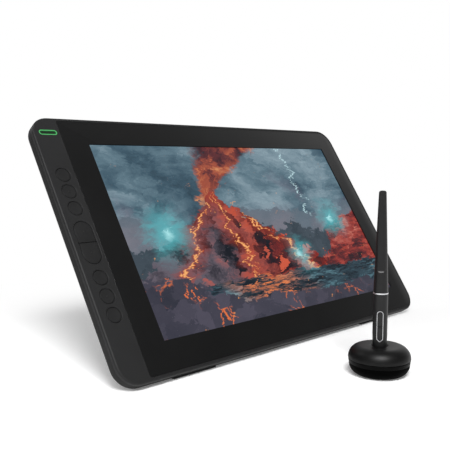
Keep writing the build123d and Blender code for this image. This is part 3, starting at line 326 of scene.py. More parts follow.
def moulded_plastic(name, colour, roughness, grain_size, grain_height, gloss=0.5):
    """Plastic with an etched grain, whose size and height are in millimetres."""
    finish = Finish(name, IOR=1.46, Specular_IOR_Level=gloss)
    here = finish.here()
    clouds = finish.noise(here, 14, 4, 0.55)
    grain = finish.noise(here, 1 / (grain_size * MM), 2, 0.6)
    rubbed = finish.smooth(finish.noise(here, 45, 5, 0.62), 0.5, 0.72)
    shade = finish.smooth(clouds * 0.75 + grain * 0.25, 0.3, 0.7)
    finish.drive("Base Color", finish.mix(shade, *two_tones(colour, CLOUD_SWING)))
    finish.drive("Roughness", roughness + (grain - 0.5) * 0.1 - rubbed * 0.05)
    finish.bump(grain, grain_height)
    return finish.material


case_plastic = moulded_plastic("frame_plastic", grey(0.0145), 0.5, 0.35, 0.02, gloss=0.2)
cover_plastic = moulded_plastic("cover_paint", grey(0.007), 0.55, 0.5, 0.03, gloss=0.2)
key_plastic = moulded_plastic("key_plastic", grey(0.0115), 0.44, 0.3, 0.012, gloss=0.26)
stand_finish = moulded_plastic("stand_paint", grey(0.02), 0.48, 0.28, 0.03)
bowl_plastic = moulded_plastic("holder_plastic", grey(0.001), 0.6, 0.4, 0.02, gloss=0.015)
pen_plastic = moulded_plastic("pen_plastic", grey(0.009), 0.36, 0.25, 0.008, gloss=0.35)
grip_plastic = moulded_plastic("pen_grip", grey(0.009), 0.42, 0.3, 0.012, gloss=0.35)
nib_plastic = moulded_plastic("nib_plastic", grey(0.02), 0.35, 0.2, 0.005)
print("plastics:", len(bpy.data.materials))

# %% [markdown]
# ## Satin plastic
#
# The lid of the holder and the band under it are black plastic with a satin polish.
# Satin mirrors its surroundings softly, so its highlight is wide and weak, and it is
# never quite even: hair-fine scratches and a trace of dust change the roughness, and
# long, very shallow waves of the moulding bend the reflections.


# %% The lid and the band
def polished_plastic(name, colour, roughness, gloss):
    """Smooth plastic with dust, hair-fine scratches and shallow waves."""
    finish = Finish(name, IOR=1.5, Specular_IOR_Level=gloss)
    here = finish.here()
    dust = finish.smooth(finish.noise(here, 900, 3, 0.7), 0.62, 0.8)
    hairs = finish.smooth(finish.noise(here, 2600, 2, 0.5, 4.0), 0.66, 0.7)
    waves = finish.noise(here, 60, 1, 0.4)
    finish.drive("Base Color", finish.mix(dust * 0.25, colour, grey(0.06)))
    finish.drive("Roughness", roughness + dust * 0.12 + hairs * 0.05)
    finish.bump(waves, 0.02, 0.6)
    return finish.material


lid_gloss = polished_plastic("lid_gloss", grey(0.001), 0.44, 0.24)
band_gloss = polished_plastic("band_gloss", grey(0.001), 0.45, 0.05)
print("satin plastic ready")

# %% [markdown]
# ## Rubber and metal
#
# Rubber is dull and slightly dusty. Plated steel has the fine drawn lines of its
# sheet, which a stretched noise gives. The same noise, drawn out less or another way,
# serves the pen's silver trim, the rolled aluminium of the shield, the wound copper of
# the pen's coil and the ferrite in it. Most of these only show when the case is opened,
# and they still get their own pattern.


# %% Rubber and metals
def rubber_finish(name, colour):
    """Dull rubber with a little dust on it."""
    finish = Finish(name, IOR=1.5, Specular_IOR_Level=0.35)
    here = finish.here()
    dust = finish.smooth(finish.noise(here, 350, 5, 0.7), 0.5, 0.75)
    finish.drive("Base Color", finish.mix(dust * 0.35, colour, grey(0.05)))
    finish.drive("Roughness", 0.72 + dust * 0.15)
    finish.bump(finish.noise(here, 2400, 2, 0.5), 0.04, 0.5)
    return finish.material


def drawn_metal(name, colour, roughness, line_scale=(60, 2400, 2400), spread=0.2):
    """Metal with fine lines, which run along the axis that has the lowest scale."""
    finish = Finish(name, Metallic=1.0)
    stretched = finish.node(
        "VectorMath", {"operation": "MULTIPLY"}, finish.here(), line_scale
    )
    lines = finish.noise(stretched, 1, 3, 0.6)
    finish.drive("Base Color", finish.mix(lines, *two_tones(colour, spread)))
    finish.drive("Roughness", roughness + (lines - 0.5) * 0.2)
    finish.bump(lines, 0.008, 0.4)
    return finish.material


rubber = rubber_finish("rubber", grey(0.012))
steel = drawn_metal("steel", (0.47, 0.47, 0.48), 0.34)
sheet_aluminium = drawn_metal("sheet_aluminium", (0.62, 0.62, 0.63), 0.42)
silver = drawn_metal("silver", (0.78, 0.78, 0.8), 0.36, (2400, 2400, 60), 0.08)
copper = drawn_metal("copper", (0.6, 0.24, 0.11), 0.35, (200, 200, 9000), 0.35)
ferrite = drawn_metal("ferrite", (0.07, 0.07, 0.075), 0.62, (900, 900, 900))
print("rubber and metals ready")

# %% [markdown]
# ## Boards, ribbons and the backlight
#
# Copper traces run one way in some cells of a board and the other way in the rest, as
# its two layers do. A ribbon has one straight track beside the other, and the sheet of
# the backlight is printed with a grid of dots that lead the light out.


# %% Boards, ribbons and the backlight
def board_finish():
    finish = Finish("circuit_board", Roughness=0.35, Coat_Weight=0.3)
    side = finish.along(across, face_middle)
    height = finish.along(upward, face_middle)
    place = finish.vector(side, height)
    cells = finish.cells(place, 0.22, randomness=0.35, out="Color")
    upright = finish.dot(cells, (1, 0, 0)) > 0.5
    level = upright * side + (1 - upright) * height
    stripe = (level * 1.3).math("FRACT")
    trace = (stripe > 0.32) * (stripe < 0.62)
    pads = finish.cells(place, 0.5, randomness=0.6) < 0.16
    green = finish.mix(trace, (0.008, 0.05, 0.018), (0.016, 0.11, 0.035))
    finish.drive("Base Color", finish.mix(pads, green, (0.62, 0.48, 0.2)))
    finish.drive("Metallic", pads * 0.9)
    finish.bump(trace * 0.5 + pads * 0.5, 0.03, 0.6)
    return finish.material


def ribbon_finish():
    finish = Finish("ribbon", Roughness=0.4)
    stripe = (finish.along(upward, face_middle) * 2).math("FRACT")
    track = (stripe > 0.3) * (stripe < 0.7)
    mottle = finish.noise(finish.here(), 300, 3)
    film = finish.mix(mottle, (0.36, 0.15, 0.02), (0.5, 0.22, 0.04))
    finish.drive("Base Color", finish.mix(track, film, (0.6, 0.3, 0.09)))
    finish.bump(track, 0.03, 0.5)
    return finish.material


def light_guide_finish():
    finish = Finish("light_guide", Roughness=0.3)
    dots = finish.cells(finish.here(), 450, randomness=0.0) < 0.3
    finish.drive("Base Color", finish.mix(dots, (0.72, 0.74, 0.77), (0.88, 0.89, 0.9)))
    finish.bump(dots, 0.02, 0.4)
    return finish.material


circuit_board = board_finish()
ribbon = ribbon_finish()
light_guide = light_guide_finish()
print("inner layers ready")

# %% [markdown]
# ## The picture on the screen
#
# The screen shows a painting. This one is drawn by nodes alone: storm clouds over far
# ranges, a burning mountain with its plume, streams of lava running down to a dark
# lake, and embers on the wind. Each layer is a mask, often made from the height of a
# noisy skyline, and each mask lays its colour over what lies behind it, from back to
# front, just as a painter works. The canvas comes first. Its places are moved a little,
# cell by cell, which breaks the smooth noise up into brush strokes.

# %% The canvas
PICTURE_MIDDLE = middle_of("lcd_panel")
ASPECT = PICTURE_WIDTH / PICTURE_HEIGHT
# How many strokes there are to a picture's height, and how far each moves the paint
BRUSHES = ((13, 0.024), (32, 0.01))
# Shares of red, green and blue that make one number from a cell's random colour
CELL_TONE = (0.5, 0.3, 0.2)


class Painting(Finish):
    """A finish with a canvas: u runs across it and v runs up it, each from 0 to 1."""

    def __init__(self, name, **constants):
        super().__init__(name, **constants)
        self.u = self.along(across, PICTURE_MIDDLE) / PICTURE_WIDTH + 0.5
        self.v = self.along(upward, PICTURE_MIDDLE) / PICTURE_HEIGHT + 0.5
        for size, reach in BRUSHES:
            self.brush(size, reach)
        self.canvas = self.vector(self.u * ASPECT, self.v)
        self.billow = self.noise(self.canvas, 2.3, 9, 0.6, 0.7)
        self.rock = self.noise(self.canvas, 9, 10, 0.7, 0.4)
        self.plates = self.dot(self.cells(self.canvas, 15, out="Color"), CELL_TONE)
        self.paint = None

    def brush(self, size, reach):
        """Pick each cell of paint up a little way from where it lies."""
        u, v = self.u, self.v
        stroke = self.vector(u * ASPECT + v * 0.55, (v - u * 0.35) * 2.3)
        pick = self.cells(stroke, size, out="Color")
        self.u = u + (self.dot(pick, (1, 0, 0)) - 0.5) * reach
        self.v = v + (self.dot(pick, (0, 1, 0)) - 0.5) * reach

    def near_to(self, x, y, reach):
        """1 at a place of the picture, and 0 from its reach on."""
        away = self.distance(self.canvas, (x * ASPECT, y, 0.0))
        return self.smooth(away, reach, 0.0)

    def skyline(self, base, swing, scale, seed):
        """A noisy height for each u."""
        line = self.vector(self.u * ASPECT, seed)
        return base + (self.noise(line, scale, 7, 0.62) - 0.5) * swing

    def below(self, height, softness=0.004):
        """1 under a height, and 0 over it."""
        return self.smooth(height - self.v, -softness, softness)

    def lay(self, mask, colour):
        """Lay a colour over what is painted already, where the mask is 1."""
        self.paint = self.mix(mask, self.paint, colour)


print("brushes:", len(BRUSHES))

# %% [markdown]
# ## Sky and plume
#
# Clouds are noise that a ramp colours from slate blue to pale grey. Two wide soft
# lights brighten them, and patches of dusk give them a warmer tone. The plume is noise
# too, kept inside a band that leans with the wind and widens as it rises.

# %% Paint the sky and the plume
SUMMIT_U = 0.36
SUMMIT_V = 0.74


def paint_sky(picture):
    u, v = picture.u, picture.v
    wisp = picture.noise(
        picture.vector(u * ASPECT * 0.7 + v * 0.4, v * 1.5, 4.0), 4.6, 8, 0.66, 1.1
    )
    cloud = picture.billow * 0.6 + wisp * 0.4
    lit = picture.near_to(0.74, 0.86, 0.85) + picture.near_to(0.05, 0.8, 0.5) * 0.6
    sky = picture.ramp(
        cloud + lit * 0.11 - 0.04,
        (0.3, (0.014, 0.03, 0.046)),
        (0.43, (0.05, 0.1, 0.14)),
        (0.52, (0.12, 0.2, 0.25)),
        (0.63, (0.27, 0.37, 0.43)),
        (0.78, (0.52, 0.6, 0.66)),
    )
    patches = picture.noise(picture.canvas, 1.9, 5, 0.6, 0.4)
    dusk = picture.smooth(patches + (0.5 - v) * 0.35, 0.46, 0.7)
    dusk_colour = picture.mix(cloud, (0.05, 0.03, 0.06), (0.34, 0.22, 0.3))
    picture.paint = picture.mix(dusk * 0.75, sky, dusk_colour)


def paint_plume(picture):
    u, v = picture.u, picture.v
    drift = u - SUMMIT_U - (v - SUMMIT_V) * 0.5
    spread = 0.05 + (v - SUMMIT_V).math("MAXIMUM", 0.0) * 0.55
    core = picture.smooth(abs(drift) / spread, 1.25, 0.1) * picture.smooth(v, 0.55, 0.76)
    smoke = picture.noise(picture.canvas, 6.5, 9, 0.68, 0.9)
    colour = picture.ramp(
        smoke + picture.smooth(v, 1.0, 0.7) * 0.1,
        (0.36, (0.012, 0.012, 0.02)),
        (0.5, (0.12, 0.03, 0.035)),
        (0.62, (0.4, 0.09, 0.05)),
        (0.76, (0.85, 0.38, 0.16)),
    )
    picture.lay(picture.smooth(core * 0.75 + smoke * 0.6, 0.55, 0.85), colour)


print("summit at:", SUMMIT_U, SUMMIT_V)

# %% [markdown]
# ## Ranges, mountain and lava
#
# Far ranges are paler than near ones, because air lies before them, so haze goes
# between them. The mountain falls away on both sides of its summit, and the same rock
# noise that roughens its edge also lights its faces. Each stream of lava follows a
# wandering line from the summit down, glows on the rock beside it, and is hottest in
# its middle.

# %% Paint the ranges, the mountain and the lava
# How far each stream leans to the right as it falls, and how much it wanders at once
LAVA_STREAMS = ((-0.42, 0.0), (0.12, 0.35), (0.62, 0.15), (1.05, 0.5))


def paint_ranges(picture):
    rock, plates = picture.rock, picture.plates
    far = picture.below(picture.skyline(0.58, 0.34, 3.2, 2.0), 0.008)
    picture.lay(far, picture.mix(rock, (0.05, 0.09, 0.12), (0.17, 0.22, 0.27)))
    haze = picture.smooth(abs(picture.v - 0.46), 0.2, 0.0)
    haze = haze * picture.smooth(picture.billow, 0.3, 0.7)
    picture.lay(haze * 0.6, (0.3, 0.24, 0.28))
    middle = picture.below(picture.skyline(0.46, 0.38, 4.4, 9.0))
    slope = picture.mix(rock * 0.6 + plates * 0.4, (0.008, 0.018, 0.028), (0.09, 0.12, 0.15))
    picture.lay(middle, slope)


def mountain_mask(picture):
    """1 on the mountain: its height falls off on both sides, and the summit is cut flat."""
    rock, plates = picture.rock, picture.plates
    fall = abs(picture.u - SUMMIT_U) ** 0.8 * 1.05
    peak = SUMMIT_V - fall + (rock - 0.5) * 0.09 + (plates - 0.5) * 0.05
    peak = peak.math("MINIMUM", SUMMIT_V - 0.035 + (rock - 0.5) * 0.04)
    return picture.below(peak, 0.005)


def paint_mountain(picture, mountain):
    u, rock, plates = picture.u, picture.rock, picture.plates
    lighted = picture.smooth(rock * 0.7 + plates * 0.4 + (SUMMIT_U - u) * 0.6, 0.42, 0.75)
    stone = picture.mix(lighted, (0.006, 0.009, 0.016), (0.13, 0.11, 0.14))
    redness = picture.smooth(rock * 0.6 + plates * 0.5 + (u - SUMMIT_U) * 0.9, 0.5, 0.9)
    red = picture.ramp(
        plates * 0.6 + rock * 0.5,
        (0.38, (0.05, 0.006, 0.008)),
        (0.52, (0.28, 0.022, 0.016)),
        (0.68, (0.62, 0.1, 0.05)),
    )
    picture.lay(mountain, picture.mix(redness, stone, red))


def paint_lava(picture, mountain):
    u, v = picture.u, picture.v
    wiggle = (picture.noise(picture.vector(v * 3.2, 7.0), 2.2, 6, 0.68) - 0.5) * 0.3
    fall = (SUMMIT_V - v).math("MAXIMUM", 0.0)
    for lean, start in LAVA_STREAMS:
        path = SUMMIT_U + fall * lean + wiggle * (fall * 2.4 + start * 0.05)
        away = abs(u - path)
        warm = picture.smooth(away, 0.07, 0.0) * mountain
        picture.lay(warm * 0.45, (0.42, 0.05, 0.025))
        edge = away / (0.003 + fall * 0.02) + (picture.rock - 0.5) * 3.2
        stream = picture.smooth(edge, 1.2, 0.1)
        hot = picture.ramp(
            stream,
            (0.05, (0.2, 0.012, 0.01)),
            (0.6, (0.62, 0.09, 0.03)),
            (1.0, (0.95, 0.45, 0.16)),
        )
        picture.lay(stream * mountain, hot)


print("lava streams:", len(LAVA_STREAMS))

# %% [markdown]
# ## Cliffs, lake and near rocks
#
# The foreground closes the picture below. Cliffs are noise drawn out sideways into
# layers, and the lake is noise drawn out much more, so that it reads as ripples. The
# near rocks are cells, whose borders make the glowing cracks.


# %% Paint the foreground
def paint_cliffs(picture):
    u, v, plates = picture.u, picture.v, picture.plates
    line = picture.skyline(0.1, 0.34, 5.0, 15.0) + picture.smooth(u, 0.56, 0.98) * 0.42
    strata = picture.noise(
        picture.vector(u * 2.2 + v * 0.5, v * 9.0, 3.0), 3.4, 8, 0.68, 0.6
    )
    colour = picture.ramp(
        strata * 0.75 + plates * 0.25,
        (0.34, (0.012, 0.01, 0.016)),
        (0.46, (0.11, 0.02, 0.024)),
        (0.56, (0.36, 0.045, 0.035)),
        (0.68, (0.6, 0.2, 0.15)),
    )
    picture.lay(picture.below(line + (plates - 0.5) * 0.08), colour)


def paint_lake(picture):
    u, v = picture.u, picture.v
    ripples = picture.noise(picture.vector(u * 4.0, v * 26.0, 1.0), 2.4, 6, 0.66, 0.3)
    water = picture.ramp(
        ripples,
        (0.4, (0.008, 0.014, 0.022)),
        (0.55, (0.035, 0.07, 0.095)),
        (0.66, (0.12, 0.26, 0.31)),
        (0.76, (0.45, 0.66, 0.7)),
    )
    fire = picture.smooth(abs(u - 0.42 - (0.2 - v) * 0.6), 0.2, 0.02)
    fire = fire * picture.smooth(ripples, 0.46, 0.6)
    shore = picture.below(picture.skyline(0.21, 0.09, 2.6, 21.0), 0.003)
    picture.lay(shore, picture.mix(fire, water, (0.85, 0.22, 0.06)))


def paint_near_rocks(picture):
    canvas = picture.canvas
    facet = picture.dot(picture.cells(canvas, 11, out="Color"), CELL_TONE)
    tone = facet * 0.6 + picture.rock * 0.4
    boulder = picture.mix(tone, (0.003, 0.009, 0.018), (0.11, 0.1, 0.14))
    border = picture.smooth(picture.cells(canvas, 11, "DISTANCE_TO_EDGE"), 0.045, 0.0)
    crack = border * picture.smooth(picture.noise(canvas, 4.0, 3), 0.5, 0.6)
    line = picture.skyline(0.1, 0.24, 3.8, 33.0) + picture.smooth(picture.u, 0.34, 0.0) * 0.2
    picture.lay(picture.below(line), picture.mix(crack, boulder, (0.9, 0.2, 0.05)))


print("foreground ready")

# %% [markdown]
# ## Lights in the picture, and the lit screen
#
# Last come cold lights on the shores, embers on the wind and a flash in the clouds.
# The screen is black plastic that gives off the painting's colours.

# %% Paint the lights and light the screen
# Place and reach of each light
COLD_LIGHTS = ((0.14, 0.5, 0.24), (0.86, 0.5, 0.2), (0.63, 0.3, 0.16))
SCREEN_STRENGTH = 1.0


def paint_cold_lights(picture):
    for x, y, reach in COLD_LIGHTS:
        core = picture.near_to(x, y, reach)
        glow = core * picture.smooth(picture.rock + core * 0.35, 0.45, 0.8)
        picture.lay(glow * 0.8, (0.1, 0.5, 0.55))
        picture.lay(picture.near_to(x, y, reach * 0.22) * 0.8, (0.5, 0.92, 0.95))


def paint_embers(picture):
    u, v = picture.u, picture.v
    windward = picture.vector(u * ASPECT - v * 0.5, v + u * 0.4)
    spark = picture.smooth(picture.cells(windward, 23), 0.14, 0.05)
    spark = spark * picture.smooth(picture.noise(picture.canvas, 3.0, 2), 0.46, 0.62)
    picture.lay(spark * picture.smooth(v, 1.05, 0.5), (1.0, 0.4, 0.1))


def paint_flash(picture):
    u, v = picture.u, picture.v
    path = 0.76 + (picture.noise(picture.vector(v * 5.0, 50.0), 2.0, 8, 0.75) - 0.5) * 0.24
    bolt = picture.smooth(abs(u - path), 0.0045, 0.0008) * picture.smooth(v, 0.52, 0.56)
    picture.lay(bolt, (0.6, 0.85, 0.9))


def screen_finish():
    picture = Painting(
        "screen", Base_Color=(0.002, 0.002, 0.002), Roughness=0.4, Specular_IOR_Level=0.1
    )
    paint_sky(picture)
    paint_plume(picture)
    paint_ranges(picture)
    mountain = mountain_mask(picture)
    paint_mountain(picture, mountain)
    paint_lava(picture, mountain)
    paint_cliffs(picture)
    paint_lake(picture)
    paint_near_rocks(picture)
    paint_cold_lights(picture)
    paint_embers(picture)
    paint_flash(picture)
    picture.drive("Emission Color", picture.paint)
    picture.drive("Emission Strength", SCREEN_STRENGTH)
    return picture.material


screen = screen_finish()
print("picture nodes:", len(screen.node_tree.nodes))

# %% [markdown]
# ## The cover glass
#
# One sheet of etched glass covers the screen and its border. The border is printed
# black from behind, and the window over the picture is clear. A window in a single
# sheet is a mask: inside the picture's rectangle the material lets the light through,
# outside it is opaque, and both share the soft gloss of the etched front.

# %% Glass finish
WINDOW_CLEARNESS = 0.97


def glass_finish():
    finish = Finish("cover_glass", IOR=1.5, Specular_IOR_Level=0.22)
    x = finish.along(across, PICTURE_MIDDLE)
    y = finish.along(upward, PICTURE_MIDDLE)
    window = (abs(x) < PICTURE_WIDTH / 2) * (abs(y) < PICTURE_HEIGHT / 2)
    here = finish.here()
    smear = finish.noise(here, 16, 5, 0.6, 0.6)
    etch = finish.noise(here, 2600, 2, 0.5)
    finish.drive("Base Color", finish.mix(smear, grey(0.0035), grey(0.0065)))
    finish.drive("Roughness", 0.24 + smear * 0.08 + etch * 0.04)
    finish.drive("Alpha", 1 - window * WINDOW_CLEARNESS)
    return finish.material


cover_glass_finish = glass_finish()
print("glass ready")

# %% [markdown]
# ## The green ring and its painted glow
#
# A small green stadium-shaped ring stands round the power button. Its glow is painted
# light: it is brightest along the middle of the band, as a painted highlight, and the
# button inside it is painted greener and faintly glowing near the ring, as caught glow.

# %% Green ring with painted glow, and power button
RING_Y = 98.4
RING_HALF_RUN = 5.6
RING_MIDDLE = 1.95
RING_PAINTED_GLOW = 0.85
BUTTON_PAINTED_GLOW = 1.0


def from_ring(finish):
    """Millimetres from the line that runs down the middle of the stadium."""
    x = finish.along(across, face_middle + MM * STRIP_X * across)
    y = finish.along(upward, face_middle + MM * RING_Y * upward)
    end = (abs(x) - RING_HALF_RUN).math("MAXIMUM", 0.0)
    return (end * end + y * y).math("SQRT")


def green_ring_painted_glow_finish():
    finish = Finish("green_guide", Roughness=0.3, Base_Color=(0.02, 0.12, 0.04))
    band = abs(from_ring(finish) - RING_MIDDLE)
    # Painted glow: the ring's emission is strongest along the middle of its band, as a painted
    # highlight.
    glow = finish.smooth(band, 0.5, 0.1)
    finish.drive("Emission Color", finish.mix(glow, (0.02, 0.16, 0.045), (0.085, 0.42, 0.12)))
    finish.drive("Emission Strength", RING_PAINTED_GLOW)
    return finish.material


def power_button_finish():
    finish = Finish("power_plastic", Roughness=0.35)
    # Painted light: towards the ring the button's colour turns greener and it gives off a faint
    # green glow, standing in for light that it catches from the ring.
    edge = finish.smooth(from_ring(finish), 0.2, 1.1)
    grain = finish.noise(finish.here(), 2500, 2)
    finish.drive("Base Color", finish.mix(edge, (0.001, 0.004, 0.001), (0.001, 0.01, 0.003)))
    finish.drive("Emission Color", finish.mix(edge, (0.0, 0.006, 0.001), (0.001, 0.02, 0.004)))
    finish.drive("Emission Strength", BUTTON_PAINTED_GLOW)
    finish.bump(grain, 0.01, 0.5)
    return finish.material


green_guide = green_ring_painted_glow_finish()
power_plastic = power_button_finish()
print("green light ready")

# %% [markdown]
# ## Dress the CAD pieces
#
# A CAD node whose shape is right stays and only gets its finish. The glass, the keys,
# the case screws and the three shells of the holder aren't in this list: the cells
# after it make them anew, with the fine rounded edges that catch the light.

# %% Finishes for the CAD nodes
give(case_plastic, "front_frame")
give(screen, "lcd_panel")
give(light_guide, "backlight")
give(circuit_board, "pen_sensor_board", "main_board", "key_board", "pen_board")
give(sheet_aluminium, "shield_plate", "pressure_sensor")
give(steel, "key_switches", "usb_sockets", "board_screws", "hinge_screws")
give(steel, "hinge_brackets", "hinge_pins", "hinge_washers", "holder_weight")
give(ribbon, "panel_ribbon", "key_ribbon")
give(cover_plastic, "back_cover")
give(rubber, "back_pads", "edge_feet", "stand_foot", "holder_pad", "socket_sleeve")
give(green_guide, "power_ring")
give(power_plastic, "power_button")
give(stand_finish, "stand_plate")
give(nib_plastic, "pen_nib", "nib_carrier", "spare_nibs")
give(pen_plastic, "pen_nose", "pen_tail", "upper_pen_button", "lower_pen_button")
give(grip_plastic, "pen_grip")
give(silver, "pen_ring", "rocker_frame")
give(ferrite, "pen_core")
give(copper, "pen_coil")
give(bowl_plastic, "nib_rack")
print("materials:", len(bpy.data.materials))

# %% [markdown]
# ## From an outline to a piece
#
# Most pieces here are either turned, as on a lathe, or cut from a sheet. Both start
# from one flat outline whose corners are written down with the radius of their
# rounding, because a moulded edge is never quite sharp and its rounding is what
# catches the light. `outline_of` draws it, and `finished` puts the piece in its place
# and says which CAD nodes it stands for.

# %% Outlines and finished pieces
MERGE_DISTANCE = 0.0005
CORNER_SEGMENTS = 4
SHARP_ANGLE = math.radians(32)


def outline_of(mesh, corners, upright=False):
    """Draw a flat face from corners (x, y, rounding), and round those corners."""
    points = [
        mesh.verts.new((x, 0, y) if upright else (x, y, 0)) for x, y, rounding in corners
    ]
    mesh.faces.new(points)
    for point, (x, y, rounding) in zip(points, corners):
        if rounding:
            bmesh.ops.bevel(
                mesh,
                geom=[point],
                offset=rounding,
                offset_type="OFFSET",
                affect="VERTICES",
                segments=CORNER_SEGMENTS + round(rounding),
                profile=0.5,
                material=-1,
            )
    bmesh.ops.remove_doubles(mesh, verts=mesh.verts, dist=MERGE_DISTANCE)


def finished(mesh, name, place, material, body, *replaced):
    """Make a mesh, drawn in millimetres, a smooth piece that stands for CAD nodes."""
    bmesh.ops.remove_doubles(mesh, verts=mesh.verts, dist=MERGE_DISTANCE)
    bmesh.ops.recalc_face_normals(mesh, faces=mesh.faces)
    bmesh.ops.transform(mesh, matrix=place, verts=mesh.verts)
    data = bpy.data.meshes.new(name)
    mesh.to_mesh(data)
    mesh.free()
    data.materials.append(material)
    data.shade_smooth()
    data.set_sharp_from_angle(angle=SHARP_ANGLE)
    piece = bpy.data.objects.new(name, data)
    bpy.context.scene.collection.objects.link(piece)
    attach(piece, body)
    if replaced:
        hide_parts(*replaced)


print("outlines ready")

# %% [markdown]
# ## Lathe and press
#
# `turned` keeps the outline's line, without the edge that closes it along the axis, and
# spins it. `pressed` pulls the outline's face out to a slab, and bevels the rim that
# the light catches.

# %% Lathe and press
LATHE_STEPS = 96
RIM_SEGMENTS = 3


def turned(corners, steps=LATHE_STEPS, closed=False):
    """Spin an outline of (radius, height, rounding) corners round the upright axis.

    A closed outline makes a ring. Any other starts and ends on the axis, or is left
    open there, and has no edge from its last corner to its first.
    """
    mesh = bmesh.new()
    outline_of(mesh, corners, upright=True)
    ends = [Vector((corners[end][0], 0, corners[end][1])) for end in (0, -1)]
    bmesh.ops.delete(mesh, geom=mesh.faces[:], context="FACES_ONLY")
    if not closed:
        closing = [edge for edge in mesh.edges if all(v.co in ends for v in edge.verts)]
        bmesh.ops.delete(mesh, geom=closing, context="EDGES_FACES")
    bmesh.ops.spin(
        mesh,
        geom=mesh.verts[:] + mesh.edges[:],
        cent=(0, 0, 0),
        axis=(0, 0, 1),
        angle=math.tau,
        steps=steps,
        use_merge=True,
    )
    return mesh


def pressed(corners, front, back, edge=0.0):
    """Give an outline a thickness from depth front to depth back, and soften its front."""
    mesh = bmesh.new()
    outline_of(mesh, corners)
    bmesh.ops.translate(mesh, verts=mesh.verts, vec=(0, 0, -back))
    grown = bmesh.ops.extrude_face_region(mesh, geom=mesh.faces[:])
    top = [item for item in grown["geom"] if isinstance(item, bmesh.types.BMVert)]
    bmesh.ops.translate(mesh, verts=top, vec=(0, 0, back - front))
    if edge:
        rim = [side for side in mesh.edges if all(v in top for v in side.verts)]
        bmesh.ops.bevel(
            mesh,
            geom=rim,
            offset=edge,
            affect="EDGES",
            segments=RIM_SEGMENTS,
            profile=0.5,
            material=-1,
        )
    return mesh


print("lathe and press ready")

# %% [markdown]
# ## The holder
#
# The holder is three turned shells: a matt bowl, a thin band and a satin lid whose
# middle hangs down as the pen's socket. The lid's dome is a quarter of an ellipse, so
# it leaves the band upright and meets its flat top without a corner. Sizes that the
# CAD model already has are read from its boxes.

# %% The holder's bowl, band and lid
LID_FLAT = 14.7
LID_WALL = 2.0
LID_CAVITY = 18.5
LID_CAVITY_TOP = 13.6
MOUTH_RADIUS = 6.2
MOUTH_ROUND = 0.7
SOCKET_RADIUS = 7.5
SOCKET_FLOOR = 1.0
BOWL_FOOT = 17.0
BOWL_WAIST = 22.7
HOLDER_BORE = 17.3
SEAM_ROUND = 0.3
BOWL_SWEEP = 69.6
BOWL_FLOOR = 1.8
PAD_RECESS = 15.45
PAD_TOP = 1.0
LID_SEAM = 0.1
QUARTER_TURN = 90
ARC_STEPS = 14


def heights_of(node):
    """The lowest and highest level of a node above the desk, in millimetres."""
    low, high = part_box(node)
    return low.z / MM, high.z / MM


def radius_of(node):
    low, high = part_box(node)
    return (high.x - low.x) / 2 / MM


def bulge(start, end, sweep, steps=ARC_STEPS):
    """Corners along an arc that leaves its start upright and turns by sweep degrees."""
    whole = math.radians(sweep)
    turns = [whole * step / steps for step in range(steps + 1)]
    return [
        (
            start[0] + (end[0] - start[0]) * (1 - math.cos(turn)) / (1 - math.cos(whole)),
            start[1] + (end[1] - start[1]) * math.sin(turn) / math.sin(whole),
            0,
        )
        for turn in turns
    ]


socket_low, lid_top = heights_of("holder_lid")
bowl_low, bowl_top = heights_of("holder_base")
band_low, band_top = heights_of("holder_band")
lid_low = band_top + LID_SEAM
lid_radius = radius_of("holder_lid")

lid_corners = [
    (0, socket_low, 0),
    (SOCKET_RADIUS, socket_low, SEAM_ROUND),
    (SOCKET_RADIUS, lid_top - LID_WALL, 0),
    (LID_CAVITY_TOP, lid_top - LID_WALL, 0),
    (LID_CAVITY, lid_low, 0),
    (lid_radius - SEAM_ROUND, lid_low, 0),
    (lid_radius, lid_low + SEAM_ROUND, 0),
    *bulge((lid_radius, lid_low + 2 * SEAM_ROUND), (LID_FLAT, lid_top), QUARTER_TURN),
    (MOUTH_RADIUS, lid_top, MOUTH_ROUND),
    (MOUTH_RADIUS, socket_low + SOCKET_FLOOR, 0),
    (0, socket_low + SOCKET_FLOOR, 0),
]
lid = turned(lid_corners)
finished(lid, "lid_shell", holder_place, lid_gloss, "lid", "holder_lid")

band_radius = radius_of("holder_band")
band_corners = [
    (HOLDER_BORE, band_low, 0),
    (BOWL_WAIST, band_low, SEAM_ROUND),
    (band_radius, band_top, SEAM_ROUND),
    (HOLDER_BORE, band_top, 0),
]
band = turned(band_corners, closed=True)
finished(band, "band_ring", holder_place, band_gloss, "holder", "holder_band")

bowl_corners = [
    (0, PAD_TOP, 0),
    (PAD_RECESS, PAD_TOP, 0),
    (PAD_RECESS, bowl_low, 0),
    *reversed(bulge((BOWL_WAIST, bowl_top), (BOWL_FOOT, bowl_low), BOWL_SWEEP)),
    (HOLDER_BORE, bowl_top, 0),
    (HOLDER_BORE, BOWL_FLOOR, 0),
    (0, BOWL_FLOOR, 0),
]
bowl = turned(bowl_corners)
finished(bowl, "bowl_shell", holder_place, bowl_plastic, "holder", "holder_base")
print("holder:", round(lid_radius, 2), "mm radius,", round(lid_top, 2), "mm high")

# %% [markdown]
# ## The keys
#
# Six round keys and two halves of a long one stand in openings of the strip. A round
# key is turned: its cap is dished for the fingertip, and under the strip it has a
# flange that holds it in and a stem that reaches its switch. The middle key of each
# three has a raised dot to find by touch.

# %% Round keys
KEYS_IN_A_GROUP = 3
DOTTED_KEYS = (2, 5)
KEY_FIRST = 29.3
KEY_PITCH = 14.95
KEY_RADIUS = 5.8
KEY_SINK = 0.6
KEY_ROUND = 0.15
DISH = 0.35
DISH_REACH = 5.0
FLANGE_RADIUS = 6.7
FLANGE_FRONT = 2.15
FLANGE_BACK = 2.95
STEM_RADIUS = 2.0
STEM_BACK = 3.85
DOT_RADIUS = 0.61
DOT_HEIGHT = 0.35
DISH_STEPS = 6
KEY_STEPS = 64
DOT_STEPS = 20
DOT_ARC_STEPS = 5


def on_face(x, y):
    """The place of a piece that is drawn upright on the tablet's face."""
    return tablet_place @ Matrix.Translation((x, y, 0))


